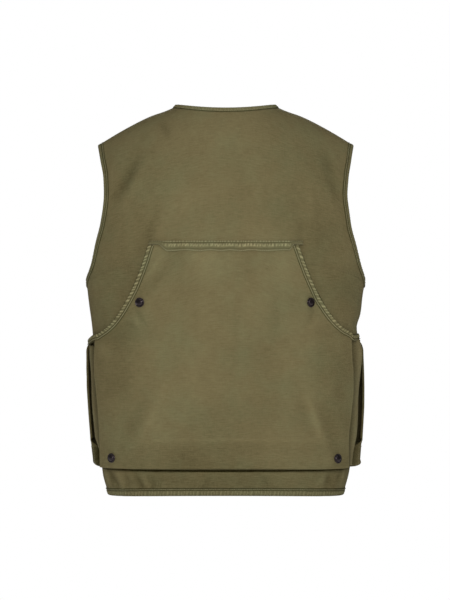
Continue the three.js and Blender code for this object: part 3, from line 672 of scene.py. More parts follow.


# Folded tape: its section wraps the cloth's edge and is carried along it, swelling and sinking with the
# puckers. A first line is sunk beside the lip and a second one further out, and open ends are rounded off.
# Gives the grid of points, its tone (wear, with painted highlight on the puckers' crests and painted shade in
# the sunk lines, the slot and at the rim), and the line of its stitches.
def foldedTape(path, face, past, edge, lip, thin, closed, start):
    q = crowded(0, 1, tapeForm["samples"], tapeForm["crowd"])
    a = q * (edge["reach"] + lip) - lip
    length = lengthAlong(path)[:, None]
    fromEnd = np.minimum(length, length[-1] - length) / tapeForm["endRound"]
    ends = 1 if closed else tapeForm["endLeast"] + (1 - tapeForm["endLeast"]) * quarterRound(fromEnd)
    lipThin = 1 - tapeForm["lipThin"] * (1 - q) ** tapeForm["lipPower"]
    n = tapeForm["half"] * thin * np.sqrt(1 - q ** tapeForm["edgePower"]) * lipThin * ends
    wave = puckerWave(length + edge["slant"] * a, edge["spacing"], start)
    rope = smoothStep(a, edge["second"] + tapeForm["ropeFrom"], edge["second"] + tapeForm["ropeTo"]) \
        * smoothStep(edge["reach"] - a, 0, tapeForm["ropeEnd"])
    lines = bell(a + lip, tapeForm["lipLine"], tapeForm["line"]) + bell(a, edge["second"], tapeForm["line"])
    top = n + ends * (tapeForm["pucker"] * rope * wave - tapeForm["groove"] * lines * thin)
    under = -n - ends * tapeForm["underShare"] * tapeForm["pucker"] * rope * wave
    back = slice(-2, None, -2)  # every second sample on the way back
    wrap = tapeForm["wrap"] + 0 * lip
    slotA = np.concatenate([-lip, wrap, wrap, -lip], 1)
    slotN = np.array([-1, -1, 1, 1]) * tapeForm["slot"] * ends + 0 * slotA
    sectionA = np.concatenate([a, a[:, back], slotA], 1)[..., None]
    sectionN = np.concatenate([top, under[:, back], slotN], 1)[..., None]
    grid = path[:, None] + sectionA * past[:, None] + sectionN * face[:, None]
    grid[..., 2] += edge["rise"] * np.maximum(sectionA[..., 0] - tapeForm["wrap"], 0)
    crests = tapeForm["crest"] * np.maximum(wave, 0) ** tapeForm["crestPower"] - tapeForm["crestLess"]
    stitched = tapeForm["stitchWear"] * bell(a, edge["stitch"], tapeForm["line"])
    rimShade = edge["rimShade"] * smoothStep(a, edge["reach"] - edge["rimWidth"], edge["reach"])
    # Tone: wear on the stitches and the puckers' crests, with painted highlight on the crests; painted shade
    # in the sunk lines, at the rim and in the slot.
    wearAndPaintedLight = edge["wearAndHighlight"] * (rope * crests + stitched) - lines + edge["tone"] - rimShade
    tone = np.concatenate([wearAndPaintedLight, wearAndPaintedLight[:, back], 0 * slotA + tapeForm["slotShade"]], 1)
    stitches = path + edge["stitch"] * past + (tapeForm["half"] * thin + stitchForm["lift"]) * face
    return grid, tone, stitches


# Stitches: a spindle of a few rings, set along a line at even pitch, as one mesh.
def stitchMesh(name, line, face, closed=False, pitch=stitchForm["pitch"], length=stitchForm["length"]):
    at, up = evenly(pitch, line, face, closed=closed)
    along = pathDirection(at, closed)
    side = unit(np.cross(along, up))
    up = unit(np.cross(side, along))
    turn = np.linspace(0, 2 * np.pi, stitchForm["around"], endpoint=False)
    radius = stitchRings[:, 1:] * stitchForm["radius"]
    run = stitchRings[:, :1] * length + 0 * turn
    shape = np.stack([run, radius * np.cos(turn), radius * np.sin(turn)], -1).reshape(-1, 3)
    verts = at[:, None] + shape @ np.stack([along, side, up], 1)
    index = np.arange(len(shape)).reshape(run.shape)
    beside = np.roll(index, -1, 1)
    quads = np.stack([index[:-1], beside[:-1], beside[1:], index[1:]], -1).reshape(-1, 4)
    ends = np.stack([index[0, ::-1], index[-1]])
    first = np.arange(len(at))[:, None, None] * len(shape)
    faces = (quads + first).reshape(-1, 4).tolist() + (ends + first).reshape(-1, len(turn)).tolist()
    return meshOf(name, verts, faces)


# Row of stitches as a piece, its line moved by the lift along the face's direction.
def addStitches(name, line, face, lift=0.0, **options):
    return addPiece(name, stitchMesh(name, line + lift * face, face, **options), thread)


# Tape piece on an edge: path evened out, past turned to the outward side, with its row of stitches.
def addTape(node, path, face, outward, edge, closed=False, start=0.0):
    path, face, outward = evenly(tapeForm["step"], path, face, outward, closed=closed)
    face = unit(face)
    past = unit(np.cross(pathDirection(path, closed), face))
    past = past * np.sign((past * outward).sum(-1, keepdims=True))
    form, z = tapeEdges[edge], path[:, 2]
    lip, thin = form["lip"] + 0 * z, 1 + 0 * z
    if edge == "armhole":
        lip = lip + underarmPatch["lip"] * smoothStep(-z, -underarmPatch["from"], -underarmPatch["to"])
        thin = thin - shoulderThin["share"] * smoothStep(z, shoulderThin["from"], shoulderThin["to"])
    grid, tone, line = foldedTape(path, face, past, form, lip[:, None], thin[:, None], closed, start)
    turned = np.sum(np.cross(pathDirection(path, closed)[0], past[0]) * face[0]) < 0
    mesh = gridMesh(node, grid, ringRows=closed, ringColumns=True, caps=not closed, turned=not turned,
                    marks={"tone": tone})
    piece = addPiece(node + "_tape", mesh, tape, node)
    rows = addStitches(node + "_stitches", line, face, closed=closed)
    return piece, rows


# Edge of a sheet: its points and directions, with both shares spread to one length.
def edgeOf(sheet, s, t, *more):
    s, t = np.broadcast_arrays(np.asarray(s, float), np.asarray(t, float))
    return sheet(s, t, *more)[:2]


# Edges put one after another: all their points, and all their directions.
def joined(*edges):
    return np.concatenate([e[0] for e in edges]), np.concatenate([e[1] for e in edges])


armShares = rowShares[rowShares > underarmShare + tiny]
vFoot = float(angleAt(np.array(neckLine["vHalf"]), neckLine["vBottom"]) / edgeAngle(np.array(1.0), "back"))
vShares = np.linspace(vFoot, neckShare, vPoints)
for name, side in sides.items():
    path, face = joined(edgeOf(backSheet, side, armShares), edgeOf(frontSheet, 1, armShares[::-1], side))
    outward = np.array(tapeAims["armhole"]) * np.array([side, 1, 1]) - path
    addTape("armhole_binding_" + name, path, face, outward, "armhole", closed=True,
                                       start=1.0 + side)

neckShares = backShares[np.abs(backShares) <= neckShare]
path, face = joined(edgeOf(frontSheet, vShares, 1, -1), edgeOf(backSheet, neckShares, 1),
                    edgeOf(frontSheet, vShares[::-1], 1, 1))
addTape("neck_binding", path, face, np.array(tapeAims["neck"]) - path, "neck", start=0.7)

path, face = joined(edgeOf(frontSheet, halfShares, 0, -1), edgeOf(backSheet, backShares, 0),
                    edgeOf(frontSheet, halfShares[::-1], 0, 1))
path[[0, -1], 0] *= hemMeets
addTape("hem_binding", path, face, np.array([0, 0, -1]) + 0 * path, "hem", start=2.2)
print("edge tapes made")


# Back pouch

pouch = {"top": -229.5, "bottom": -590, "columns": 90, "slack": 1.5, "slackShift": 60, "calmOver": 30,
         "roll": 3.0, "rollFrom": 100, "rollTo": 12, "rollSteps": 6,
         "edgeHighlight": 0.6, "edgeWidth": 2.2, "highlightFrom": 380, "highlightTo": 392, "gatherReach": 7,
         "sagOver": 30, "sagFrom": 50, "sagTo": 195, "sagLeft": 1.4, "sagRight": 2.2}
faceRuns = ((pouch["bottom"] + pouch["roll"], -384, 100), (-382, -352, 24),  # rows from, to, and how many
            (-350, pouch["top"], 66))
pouchRows = {  # half widths of the face, and how far it stands off at the sides and at the back
    "z": [-590, -548, -498, -465, -436, -417, -393, -386,
          -381, -370, -355, -328, -293, -259, -235.5, -229.5],
    "left": [205, 205.5, 208.5, 211.6, 214.6, 214.8, 213.6, 213.2,
             206.5, 190.5, 175.5, 157.8, 140, 127, 119.5, 117],
    "right": [200, 200, 205, 208.2, 208, 206, 205, 204.8,
              204.2, 187.5, 171.5, 152, 134, 120.5, 112, 109.5],
    "side": [13, 13, 13, 13, 12.8, 12.5, 11, 10.2, 9.5, 8, 7, 6, 5.2, 4.8, 4.6, 3],
    "back": [21, 19.5, 16.8, 15, 13.6, 12.8, 11.4, 10.9, 10.6, 10, 9.2, 8.2, 6.8, 5.4, 4.6, 3],
}
# Its tone is painted light: shade in creases, on the pouch's sides, low on the pouch and along its lower
# edge, and light on ridges. Rows that press nothing in are only painted shade.
pouchFoldsAndShade = [  # x, z, turn from level, length, width, pressed in, tone
    (147, -515, 110.6, 38, 6.5, -2.8, 0.3), (124, -497, 108, 38, 12, 2.4, -0.24),
    (168, -526, 111, 42, 11, 2.6, -0.2), (-144, -507, 66, 52, 13, 2.4, -0.25),
    (-119, -503, 65, 46, 8, -1.4, 0.14), (10, -544, 0, 150, 3.5, -0.9, 0.16),
    (10, -556, 0, 150, 10, 1.6, -0.1), (-30, -265, 92, 36, 24, -2.0, 0.3),
    (38, -259, 88, 32, 15, 1.6, -0.2), (90, -267, 82, 34, 16, -1.5, 0.22),
    (-80, -252, 90, 18, 16, 1.5, -0.22), (-116, -265, 54, 17, 4, -1.2, 0.3),
    (-110, -286, 54, 24, 7, 1.7, -0.26), (-138, -307, 60, 14, 8, 1.0, -0.2),
    (-144, -354, 110, 12, 3.5, -0.8, 0.25), (-136, -347, 125, 14, 3.5, 1.0, -0.26),
    (-153, -360, 150, 12, 4, 0.9, -0.2), (136, -349, 60, 14, 4, 0.9, -0.2),
    (143, -358, 70, 14, 4, -0.7, 0.15), (15, -359, 88, 38, 9, 1.0, -0.14),
    (79, -351, 85, 46, 11, 1.2, -0.15), (155, -411, 88, 54, 10, 1.1, -0.12),
    (-199, -399, 60, 15, 10, -1.0, 0.25), (187, -394, 100, 22, 12, -1.0, 0.18),
    (-165, -451, 92, 46, 14, 1.2, -0.12), (186, -456, 90, 46, 11, 0.8, -0.1),
    (-25, -531, 140, 13, 4, 0.8, -0.12), (-57, -521, 125, 13, 4.5, 0.8, -0.1),
    (-94, -514, 130, 13, 5, 0.9, -0.12), (-17, -536, 150, 10, 3, -0.6, 0.12),
    (163, -576, 0, 22, 8, -0.6, 0.14), (-40, -440, 80, 60, 20, -1.0, 0.1),
    (60, -430, 95, 60, 18, 0.8, -0.06), (141, -323, 90, 17, 8, 5.0, -0.1),
    (-110, -574, 0, 110, 17, 0, -0.2), (-180, -430, 90, 125, 42, 0, -0.42),
    (182, -430, 90, 110, 34, 0, -0.32), (0, -520, 0, 160, 40, 0, -0.1), (0, -570, 0, 240, 22, 0, -0.12),
    (-20, -587, 0, 190, 9, 0, -0.25),
]


# Pouch face: the body's form grown by the table, with its folds and slack pressed in towards the body.
def pouchAt(angle, z):
    point = formPoint(angle, z, tableCurve(pouchRows, "side", z), tableCurve(pouchRows, "back", z))
    x, height = point[..., 0], point[..., 2]
    pressed, _ = foldSums(pouchFoldsAndShade, x, height)
    calm = smoothStep(pouch["top"] - z, 0, pouch["calmOver"])
    point[..., 1] += pressed - slackCloth(x + pouch["slackShift"], height, pouch["slack"]) * calm
    return point


# Angle of the face's edge on the side given by its sign.
def pouchEdge(z, side):
    half = np.where(np.asarray(side) < 0, tableCurve(pouchRows, "left", z), tableCurve(pouchRows, "right", z))
    return np.sign(side) * angleAt(half, z, tableCurve(pouchRows, "side", z))


# Face from the rolled lower edge up to the band: the roll is a quarter circle under the last row, and the
# corners sag by a share that dies out upwards as e to the minus height.
faceShares = signedPower(np.linspace(-1, 1, 2 * pouch["columns"] + 1), squareness / 2)
s, z = gridOf(faceShares, np.concatenate([np.linspace(*run) for run in faceRuns]))
facePoints = pouchAt(np.abs(s) * pouchEdge(z, s), z)
_, facePaintedLight = foldSums(pouchFoldsAndShade, facePoints[..., 0], facePoints[..., 2])
faceEdges = gridLengths(facePoints)[2]
# Painted highlight along the face's folded side edges, below the entry corners.
nearEdgeLight = bell(np.minimum(faceEdges["first"], faceEdges["last"]), 0, pouch["edgeWidth"])
facePaintedLight = facePaintedLight + pouch["edgeHighlight"] * nearEdgeLight * smoothStep(-z, pouch["highlightFrom"], pouch["highlightTo"])
rollTurn = np.radians(np.linspace(pouch["rollFrom"], pouch["rollTo"], pouch["rollSteps"]))
rollCurve = np.stack([0 * rollTurn, 1 - np.cos(rollTurn), -np.sin(rollTurn)], -1)
facePoints = np.concatenate([facePoints[:, :1] + pouch["roll"] * rollCurve, facePoints], 1)
outBy = smoothStep(np.abs(facePoints[..., 0]), pouch["sagFrom"], pouch["sagTo"])
cornerSag = np.where(facePoints[..., 0] < 0, pouch["sagLeft"], pouch["sagRight"]) * outBy
facePoints[..., 2] -= cornerSag * np.exp((pouch["bottom"] - facePoints[..., 2]) / pouch["sagOver"])
facePaintedLight = np.concatenate([np.repeat(facePaintedLight[:, :1], len(rollTurn), 1), facePaintedLight], 1)
faceMarks = {"tone": facePaintedLight, **seamMarks(facePoints, along=("high",), reach=pouch["gatherReach"])}
pouchFace = addSheet("pouch_face", facePoints, canvas, marks=faceMarks)
print("pouch face made")

# Base: straight from the back to the face, a little above its lower edge, and rippled along its run.
pouchBase = {"z": -580, "aboveEdge": 2.5, "end": 57, "columns": 90, "rows": 8, "ripple": 0.8, "ripples": 23}
angle, w = gridOf(np.radians(np.linspace(-pouchBase["end"], pouchBase["end"], pouchBase["columns"])),
                  np.linspace(0, 1, pouchBase["rows"]))
lowEdge = pouch["bottom"] + pouchBase["aboveEdge"] + 0 * angle
inner = onBody(angle, pouchBase["z"] + 0 * angle, clothSize["laid"] + 0 * angle)
outer = pouchAt(angle, lowEdge) - clothSize["laid"] * outwardOf(pouchAt, angle, lowEdge)
basePoints = inner + (outer - inner) * w[..., None]
basePoints[..., 2] += pouchBase["ripple"] * np.sin(np.pi * w) * np.sin(angle * pouchBase["ripples"])
# The base is in the darker copy of the canvas, as painted shade under the pouch.
base = addSheet("pouch_base", basePoints, shadeCanvas, turned=True)

gusset = {"inside": 6, "behind": 3.2, "past": -0.5, "turnBehind": 9, "share": 0.45, "rimY": -7, "seamY": -1,
          "columns": 48, "rows": 60, "lowFrom": 540, "lowTo": 574, "tuckOver": 22, "toneFrom": 0.27,
          "bulge": 0.7, "bulgeRun": 17}
gussetSides = {
    "left": {"high": -394, "bow": 6.5, "rim": 7.5, "tuck": 1.5, "lowIn": 6,
             "sunk": -0.95, "outer": 0.3, "toneTo": 0.54},
    "right": {"high": -384.5, "bow": 5.2, "rim": 6.2, "tuck": 4, "lowIn": 2.5,
              "sunk": -0.7, "outer": 0.5, "toneTo": 0.46},
}


# Spline through stops, at shares w of the way: cubic pieces, with half the step between a stop's neighbours
# as its slope.
def splineThrough(stops, w):
    last = len(stops) - 1
    place = w * last
    low = np.minimum(place.astype(int), last - 1)
    f = (place - low)[..., None]
    near = [np.clip(low + k, 0, last)[None, ..., None] for k in (-1, 0, 1, 2)]
    p0, p1, p2, p3 = [np.take_along_axis(np.stack(stops), at, 0)[0] for at in near]
    m1, m2 = (p2 - p0) / 2, (p3 - p1) / 2
    return (2 * (p1 - p2) + m1 + m2) * f**3 + (3 * (p2 - p1) - 2 * m1 - m2) * f**2 + m1 * f + p1


# Side strip: at each height it starts inside the face's edge, bows out past the side and returns to the seam.
for name, side in sides.items():
    strip = gussetSides[name]
    w, z = gridOf(np.linspace(0, 1, gusset["columns"]),
                  np.linspace(pouch["bottom"], strip["high"], gusset["rows"]))
    half = tableCurve(bodyForm, "half", z)
    drawn = strip["lowIn"] * smoothStep(-z, gusset["lowFrom"], gusset["lowTo"]) \
        + strip["tuck"] * smoothStep(z, strip["high"] - gusset["tuckOver"], strip["high"])
    edge = pouchAt(pouchEdge(z, side), z)
    edgeX = side * edge[..., 0]
    stops = [np.stack(stop, -1) for stop in (
        (edgeX - gusset["inside"], edge[..., 1] + gusset["behind"]),
        (edgeX + gusset["past"], edge[..., 1] + gusset["turnBehind"]),
        (half + strip["bow"] - drawn, edge[..., 1] * gusset["share"]),
        (half + strip["rim"] - drawn, gusset["rimY"] + 0 * half),
        (half + clothSize["laid"], gusset["seamY"] + 0 * half))]
    section = splineThrough(stops, w)
    bulge = gusset["bulge"] * np.sin(np.pi * w) * np.sin(z / gusset["bulgeRun"] + side)
    points = np.stack([side * (section[..., 0] + bulge), section[..., 1], z], -1)
    # Tone: painted shade on the part tucked in under the face's edge, lighter towards the outer part that
    # bows past the side.
    outerShare = smoothStep(w, gusset["toneFrom"], strip["toneTo"])
    tone = strip["sunk"] + (strip["outer"] - strip["sunk"]) * outerShare
    addSheet("pouch_gusset_" + name, points, canvas, turned=side < 0, marks={"tone": tone})
print("pouch base and side strips made")


# Hand entry tape: up the slanting edge of the face to the band, from a tail that bends round the side's top.
# The tail is a curve of three controls: the corner, a place straight on from it, and its end at the side.
entry = {"tailSteps": 24, "points": 140, "top": -231, "start": 0.4, "aimUp": 2}
entryTails = {"left": {"corner": -381.5, "straightOn": 15, "lift": 6.5, "end": (-226, -14, -391.5)},
              "right": {"corner": -381, "straightOn": 8, "lift": 0, "end": (220, -14, -381.5)}}
for name, side in sides.items():
    tailForm = entryTails[name]
    z = np.linspace(tailForm["corner"], entry["top"], entry["points"])
    path, face = pouchAt(pouchEdge(z, side), z), outwardOf(pouchAt, pouchEdge(z, side), z)
    end = np.array(tailForm["end"])
    control = path[0] + tailForm["straightOn"] * unit(path[0] - path[3]) + np.array([0, 0, tailForm["lift"]])
    f = np.linspace(1, 0, entry["tailSteps"])[:-1, None]
    tail = end * f**2 + 2 * control * f * (1 - f) + path[0] * (1 - f) ** 2
    tailFace = unit(face[0] * (1 - f) + np.array([side, 0, 0]) * f)
    path, face = np.concatenate([tail, path]), np.concatenate([tailFace, face])
    outward = np.array([side, 0, entry["aimUp"]]) + 0 * path
    addTape("pouch_binding_" + name, path, face, outward, "entry",
                                     start=entry["start"] * side)

# Waves are given by their length, the swing of their phase and the run of that swing.
band = {"low": -240, "high": -223.8, "half": 123, "thick": 1.6, "columns": 220, "rows": 29, "clear": 0.5,
        "stand": 4.6, "bendFrom": -232.5, "bendTo": -223.5, "taper": 10.5, "taperLeft": 92, "taperRight": 101,
        "taperTo": 109, "wave": 0.8, "edgeWave": (41, 1.5, 29), "patch": 0.15, "patchWave": (31, 1.7, 13)}
bandShares = {  # places and widths as shares of the band's height
    "ridge": 0.072, "sunk": 0.215, "line": 0.063, "seam": 0.78, "seamLine": 0.04, "seamEnd": 0.06,
    "puckerFrom": 0.36, "puckerFull": 0.49, "puckerLess": 0.66, "puckerTo": 0.75,
    "dotsFrom": 0.83, "dotsFull": 0.88, "topRow": 0.93,
}
bandPuckers = ((3.2, 4.4, 3.1), (-9, 5.7, 0.6))  # slant, spacing and start of two rows of puckers that cross
bandDots = (4.6, 1.2)  # spacing and start of the dots along the top
bandRelief = {"pucker": 0.45, "ridge": 0.3, "groove": 0.45, "sunk": 0.5, "seam": 0.8, "seamEnd": 0.25}
# Tones: crests lighter as wear with painted highlight, the lower ridge line a painted highlight, the grooves
# and the seam painted shade.
bandTones = {"pucker": 1.8, "power": 1.5, "ridge": 0.6, "groove": 0.9, "plain": 0.1, "between": 0.2,
             "dots": 1.8}


# Wave along x whose phase swings with a slower sine.
def swungWave(x, length, swing, slow):
    return np.sin(x * 2 * np.pi / length + swing * np.sin(x / slow))


# Band over the pouch's top edge: lies on the face below and bends down to the back above. It puckers between
# its lower ridge and the seam along its top, its lower edge waves, and its ends taper up to the entry tapes.
x, share = gridOf(np.linspace(-band["half"], band["half"], band["columns"]), np.linspace(0, 1, band["rows"]))
ending = smoothStep(np.abs(x), np.where(x < 0, band["taperLeft"], band["taperRight"]), band["taperTo"])
inside = 1 - ending
bandLow = band["low"] + band["taper"] * ending + band["wave"] * inside * swungWave(x, *band["edgeWave"])
z = bandLow + share * (band["high"] - bandLow)
onBack = onCloth + band["thick"] / 2 + band["clear"]
onFace = onBack + band["stand"]
bend = smoothStep(z, band["bendFrom"], band["bendTo"])
puckered = smoothStep(share, bandShares["puckerFrom"], bandShares["puckerFull"]) \
    * smoothStep(-share, -bandShares["puckerTo"], -bandShares["puckerLess"]) * inside
crossed = [puckerWave(x + slant * share, spacing, start) for slant, spacing, start in bandPuckers]
patches = 1 - band["patch"] + band["patch"] * swungWave(x, *band["patchWave"])
crease = np.maximum(*crossed) * puckered * patches
ridgeLine = bell(share, bandShares["ridge"], bandShares["line"]) * inside
seamLine = bell(share, bandShares["seam"], bandShares["seamLine"] + bandShares["seamEnd"] * ending)
grooves = bandRelief["sunk"] * bell(share, bandShares["sunk"], bandShares["line"]) * inside \
    + (bandRelief["seam"] - bandRelief["seamEnd"] * ending) * seamLine
bandLift = onFace + (onBack - onFace) * bend + bandRelief["pucker"] * crease \
    + bandRelief["ridge"] * ridgeLine - bandRelief["groove"] * grooves
bandPoints = onBody(angleAt(x, z), z, bandLift)
# Tone: lighter on the puckers' crests as wear with painted highlight and on the lower ridge as painted
# highlight; painted shade in the grooves and the seam; light stitch dots along the top.
dots = bandTones["between"] + bandTones["dots"] * np.maximum(puckerWave(x, *bandDots), 0)
bandTone = bandTones["pucker"] * np.maximum(crease, 0) ** bandTones["power"] \
    + bandTones["ridge"] * ridgeLine - bandTones["groove"] * grooves - bandTones["plain"] * (1 - puckered) \
    + smoothStep(share, bandShares["dotsFrom"], bandShares["dotsFull"]) * inside * dots
topBand = addSheet("pouch_top_band", bandPoints, tape, thick=band["thick"], marks={"tone": bandTone})
for label, at in (("low", bandShares["ridge"]), ("high", bandShares["topRow"])):
    row = int(round(at * (band["rows"] - 1)))
    up = bodyOutward(angleAt(x[:, row], z[:, row]), z[:, row])
    addStitches("pouch_top_band_stitches_" + label, bandPoints[:, row], up,
                band["thick"] / 2 + stitchForm["lift"])
print("pouch tapes and band made")


# Snap caps

snap = {"radius": 7.8, "height": 3.2, "seat": 1.0, "around": 40, "weld": 0.02}
snapPlaces = {"upper": {"left": (138.4, -323), "right": (135.8, -323)},
              "lower": {"left": (183.8, -575), "right": (180, -576)}}
# Tone: lighter on the bead and the dome as wear, darker in the groove between them as painted shade.
snapOutline = np.array([  # share of the radius, share of the height, tone
    (0, -0.3, 0), (0.9, -0.3, 0), (0.97, 0.05, 0), (1, 0.25, 0.3), (0.98, 0.45, 0.5), (0.93, 0.58, 0.5),
    (0.86, 0.6, 0.35), (0.79, 0.54, 0), (0.74, 0.46, -0.1), (0.69, 0.46, -0.1), (0.65, 0.58, 0.1),
    (0.6, 0.76, 0.4), (0.5, 0.88, 0.3), (0.36, 0.95, 0.15), (0.2, 0.99, 0.1), (0, 1, 0.1)])

# Cap: its outline turned round the face's outward direction at its place, seated on the cloth.
for level, places in snapPlaces.items():
    for name, side in sides.items():
        node = f"pouch_snap_{level}_{name}"
        snapX, snapZ = places[name]
        z = np.array(float(snapZ))
        angle = side * angleAt(np.array(snapX), z, tableCurve(pouchRows, "side", z))
        up = outwardOf(pouchAt, angle, z)
        across = unit(np.cross(np.array([0, 0, 1.0]), up))
        upright = np.cross(up, across)
        turn = np.linspace(0, 2 * np.pi, snap["around"], endpoint=False)[:, None, None]
        r, h = snapOutline[:, 0, None] * snap["radius"], snapOutline[:, 1, None] * snap["height"]
        centre = pouchAt(angle, z) + (onCloth + snap["seat"]) * up
        points = centre + r * (np.cos(turn) * across + np.sin(turn) * upright) + h * up
        mesh = gridMesh(node, points, ringRows=True, marks={"tone": snapOutline[:, 2]})
        cap = addPiece(node + "_cap", mesh, snapMetal, node)
        weld = cap.modifiers.new("poles", "WELD")
        weld.merge_threshold = snap["weld"] * mm
print("snap caps made")


# Front pockets

pocket = {"rear": 96, "front": 166, "top": -388, "bottom": -595, "columns": 70, "rows": 96,
          "stand": 12.8, "swell": 5.6, "swellFrom": 390, "swellTo": 470, "frontStand": 0.8, "trimTo": 140,
          "tack": -558, "tackHalf": 8, "runShare": 0.75, "crowdColumns": 0.7, "crowdRows": 0.85,
          "roundRear": 14, "roundFront": 16, "roundTop": 17, "roundBottom": 11, "stitchIn": 4,
          "slack": 1.2, "slackRun": 3.2, "slackShift": 40, "slackFrom": 97, "slackTo": 110,
          "shade": -0.15, "rearShade": 0.7, "rearWidth": 22, "tabShade": {"left": 0.8, "right": 0.3}}
pocketHem = {"round": 1.0, "reach": 12, "rows": 90, "foldSteps": 10, "runSteps": 8, "aboveTack": 2,
             "topShare": 1 / 3}
pocketTack = {"from": 1, "to": 4.5, "points": 10, "below": 4, "lift": 0.3, "pitch": 0.8, "length": 1.6}
pocketTrims = {  # how much less each pocket stands off at its rear
    "z": [-595, -590, -582, -562, -548, -500, -450, -430, -395],
    "left": [-1, 0.2, 1.4, 0.6, 2.6, 2.1, 1.9, 0.8, 0],
    "right": [-9, -6.5, -1.6, -1.5, 0.2, 0.7, 2.8, 2.8, 3.4],
}


# Front pocket: stands off the front along quarter circles at its sewn edges, and is open at the rear above
# the tack.
def pocketAt(turn, z, side):
    angle = np.radians(turn)
    run = tableCurve(bodyForm, "half", z) * pocket["runShare"]
    closed = smoothStep(-z, -pocket["tack"] - pocket["tackHalf"], -pocket["tack"] + pocket["tackHalf"])
    rear = 1 - closed * (1 - quarterRound(np.radians(turn - pocket["rear"]) * run / pocket["roundRear"]))
    front = quarterRound(np.radians(pocket["front"] - turn) * run / pocket["roundFront"])
    sewn = quarterRound((pocket["top"] - z) / pocket["roundTop"]) \
        * quarterRound((z - pocket["bottom"]) / pocket["roundBottom"])
    full = pocket["stand"] + pocket["swell"] * smoothStep(-z, pocket["swellFrom"], pocket["swellTo"])
    trim = tableCurve(pocketTrims, "left" if side < 0 else "right", z)
    trim = trim * smoothStep(-turn, -pocket["trimTo"], -pocket["rear"])
    beside = pocket["frontStand"] + (1 - pocket["frontStand"]) * np.sin(angle)
    stand = (full - trim) * rear * front * sewn * beside
    slack = slackCloth(turn * pocket["slackRun"] + pocket["slackShift"] * side, z, pocket["slack"])
    wave = slack * front * sewn * smoothStep(turn, pocket["slackFrom"], pocket["slackTo"])
    return onBody(angle, z, clothSize["laid"] + stand + wave) * np.array([side, 1, 1])


# Outward direction of a pocket, turned round on the left where the form is mirrored.
def pocketOutward(turn, z, side):
    return outwardOf(lambda a, h: pocketAt(np.degrees(a), h, side), np.radians(turn), z) * side


# Hem of the pocket's rear entry: the cloth goes on from the edge round half a circle and back along the
# inside. Its section is given its thickness here: the same curve moved out and in by half the cloth.
def rearHem(name, side):
    z = np.linspace(pocket["tack"] + pocket["tackHalf"] + pocketHem["aboveTack"],
                    pocket["top"] - pocket["roundTop"] * pocketHem["topShare"], pocketHem["rows"])
    fold = np.linspace(0, np.pi, pocketHem["foldSteps"])
    run = np.linspace(0, pocketHem["reach"], pocketHem["runSteps"])[1:]
    bend = np.concatenate([fold, np.pi + 0 * run])
    back = pocketHem["round"] * np.sin(bend) - np.concatenate([0 * fold, run])
    down = pocketHem["round"] * (1 - np.cos(bend))
    aside, above = onCloth * np.sin(bend), onCloth * np.cos(bend)
    around = np.concatenate([back + aside, (back - aside)[::-1]])[:, None]
    drop = np.concatenate([down - above, (down + above)[::-1]])[:, None]
    rear = np.full_like(z, pocket["rear"])
    edge, out = pocketAt(rear, z, side), pocketOutward(rear, z, side)
    rearward = unit(edge - pocketAt(rear + 1, z, side))
    points = edge[:, None] + around * rearward[:, None] - drop * out[:, None]
    tone = pocket["shade"] - pocket["rearShade"]
    return gridMesh(name, points, ringColumns=True, caps=True, turned=side > 0, marks={"tone": tone})


turn, z = gridOf(crowded(pocket["rear"], pocket["front"], pocket["columns"], pocket["crowdColumns"]),
                 crowded(pocket["bottom"], pocket["top"], pocket["rows"], pocket["crowdRows"]))
tackTurn = pocket["rear"] + np.linspace(pocketTack["from"], pocketTack["to"], pocketTack["points"])
tackZ = pocket["tack"] - pocketTack["below"] + 0 * tackTurn
rows = slice(pocket["stitchIn"], -pocket["stitchIn"])
for name, side in sides.items():
    node = "front_pocket_" + name
    points, face = pocketAt(turn, z, side), pocketOutward(turn, z, side)
    nearRear = bell(gridLengths(points)[2]["first"], 0, pocket["rearWidth"])
    belowTack = smoothStep(-z, -pocket["tack"], -pocket["tack"] + pocket["tackHalf"])
    tone = pocket["shade"] - (pocket["rearShade"] + pocket["tabShade"][name] * belowTack) * nearRear
    marks = {"tone": tone, **seamMarks(points, along=("low", "high"), up=("last",))}
    addSheet(node, points, canvas, turned=side < 0, marks=marks)
    addPiece(node + "_hem", rearHem(node + "_hem", side), canvas)
    for label, column in (("front", -pocket["stitchIn"]), ("rear", pocket["stitchIn"])):
        addStitches(f"{node}_stitches_{label}", points[column, rows], face[column, rows],
                    onCloth + stitchForm["lift"])
    addStitches(node + "_tack", pocketAt(tackTurn, tackZ, side), pocketOutward(tackTurn, tackZ, side),
                onCloth + pocketTack["lift"], pitch=pocketTack["pitch"], length=pocketTack["length"])
print("front pockets made")


# Front placket: a plain strip over the meeting edges, lifted over the ends of the neck tape.
placket = {"half": 17.5, "top": -222, "bottom": -626, "columns": 18, "rows": 150, "crown": 0.5,
           "lift": 1.6, "liftFrom": -250, "liftTo": -234, "gatherReach": 5, "stitchIn": 2, "stitchLift": 0.15}
x, z = gridOf(np.linspace(-placket["half"], placket["half"], placket["columns"]),
              np.linspace(placket["bottom"], placket["top"], placket["rows"]))
placketAngle = np.pi - angleAt(x, z)
lift = clothSize["laid"] + placket["lift"] * smoothStep(z, placket["liftFrom"], placket["liftTo"])
lift = lift + placket["crown"] * np.sin(np.pi * (x / placket["half"] + 1) / 2)
placketPoints = onBody(placketAngle, z, lift)
placketMarks = seamMarks(placketPoints, up=("first", "last"), reach=placket["gatherReach"])
frontPlacket = addSheet("front_placket", placketPoints, canvas, turned=True, marks=placketMarks)
placketOut = bodyOutward(placketAngle, z)
for label, column in (("left", placket["stitchIn"]), ("right", -1 - placket["stitchIn"])):
    addStitches("front_placket_stitches_" + label, placketPoints[column], placketOut[column],
                onCloth + placket["stitchLift"])
print("front placket made")
# Stage, light and camera

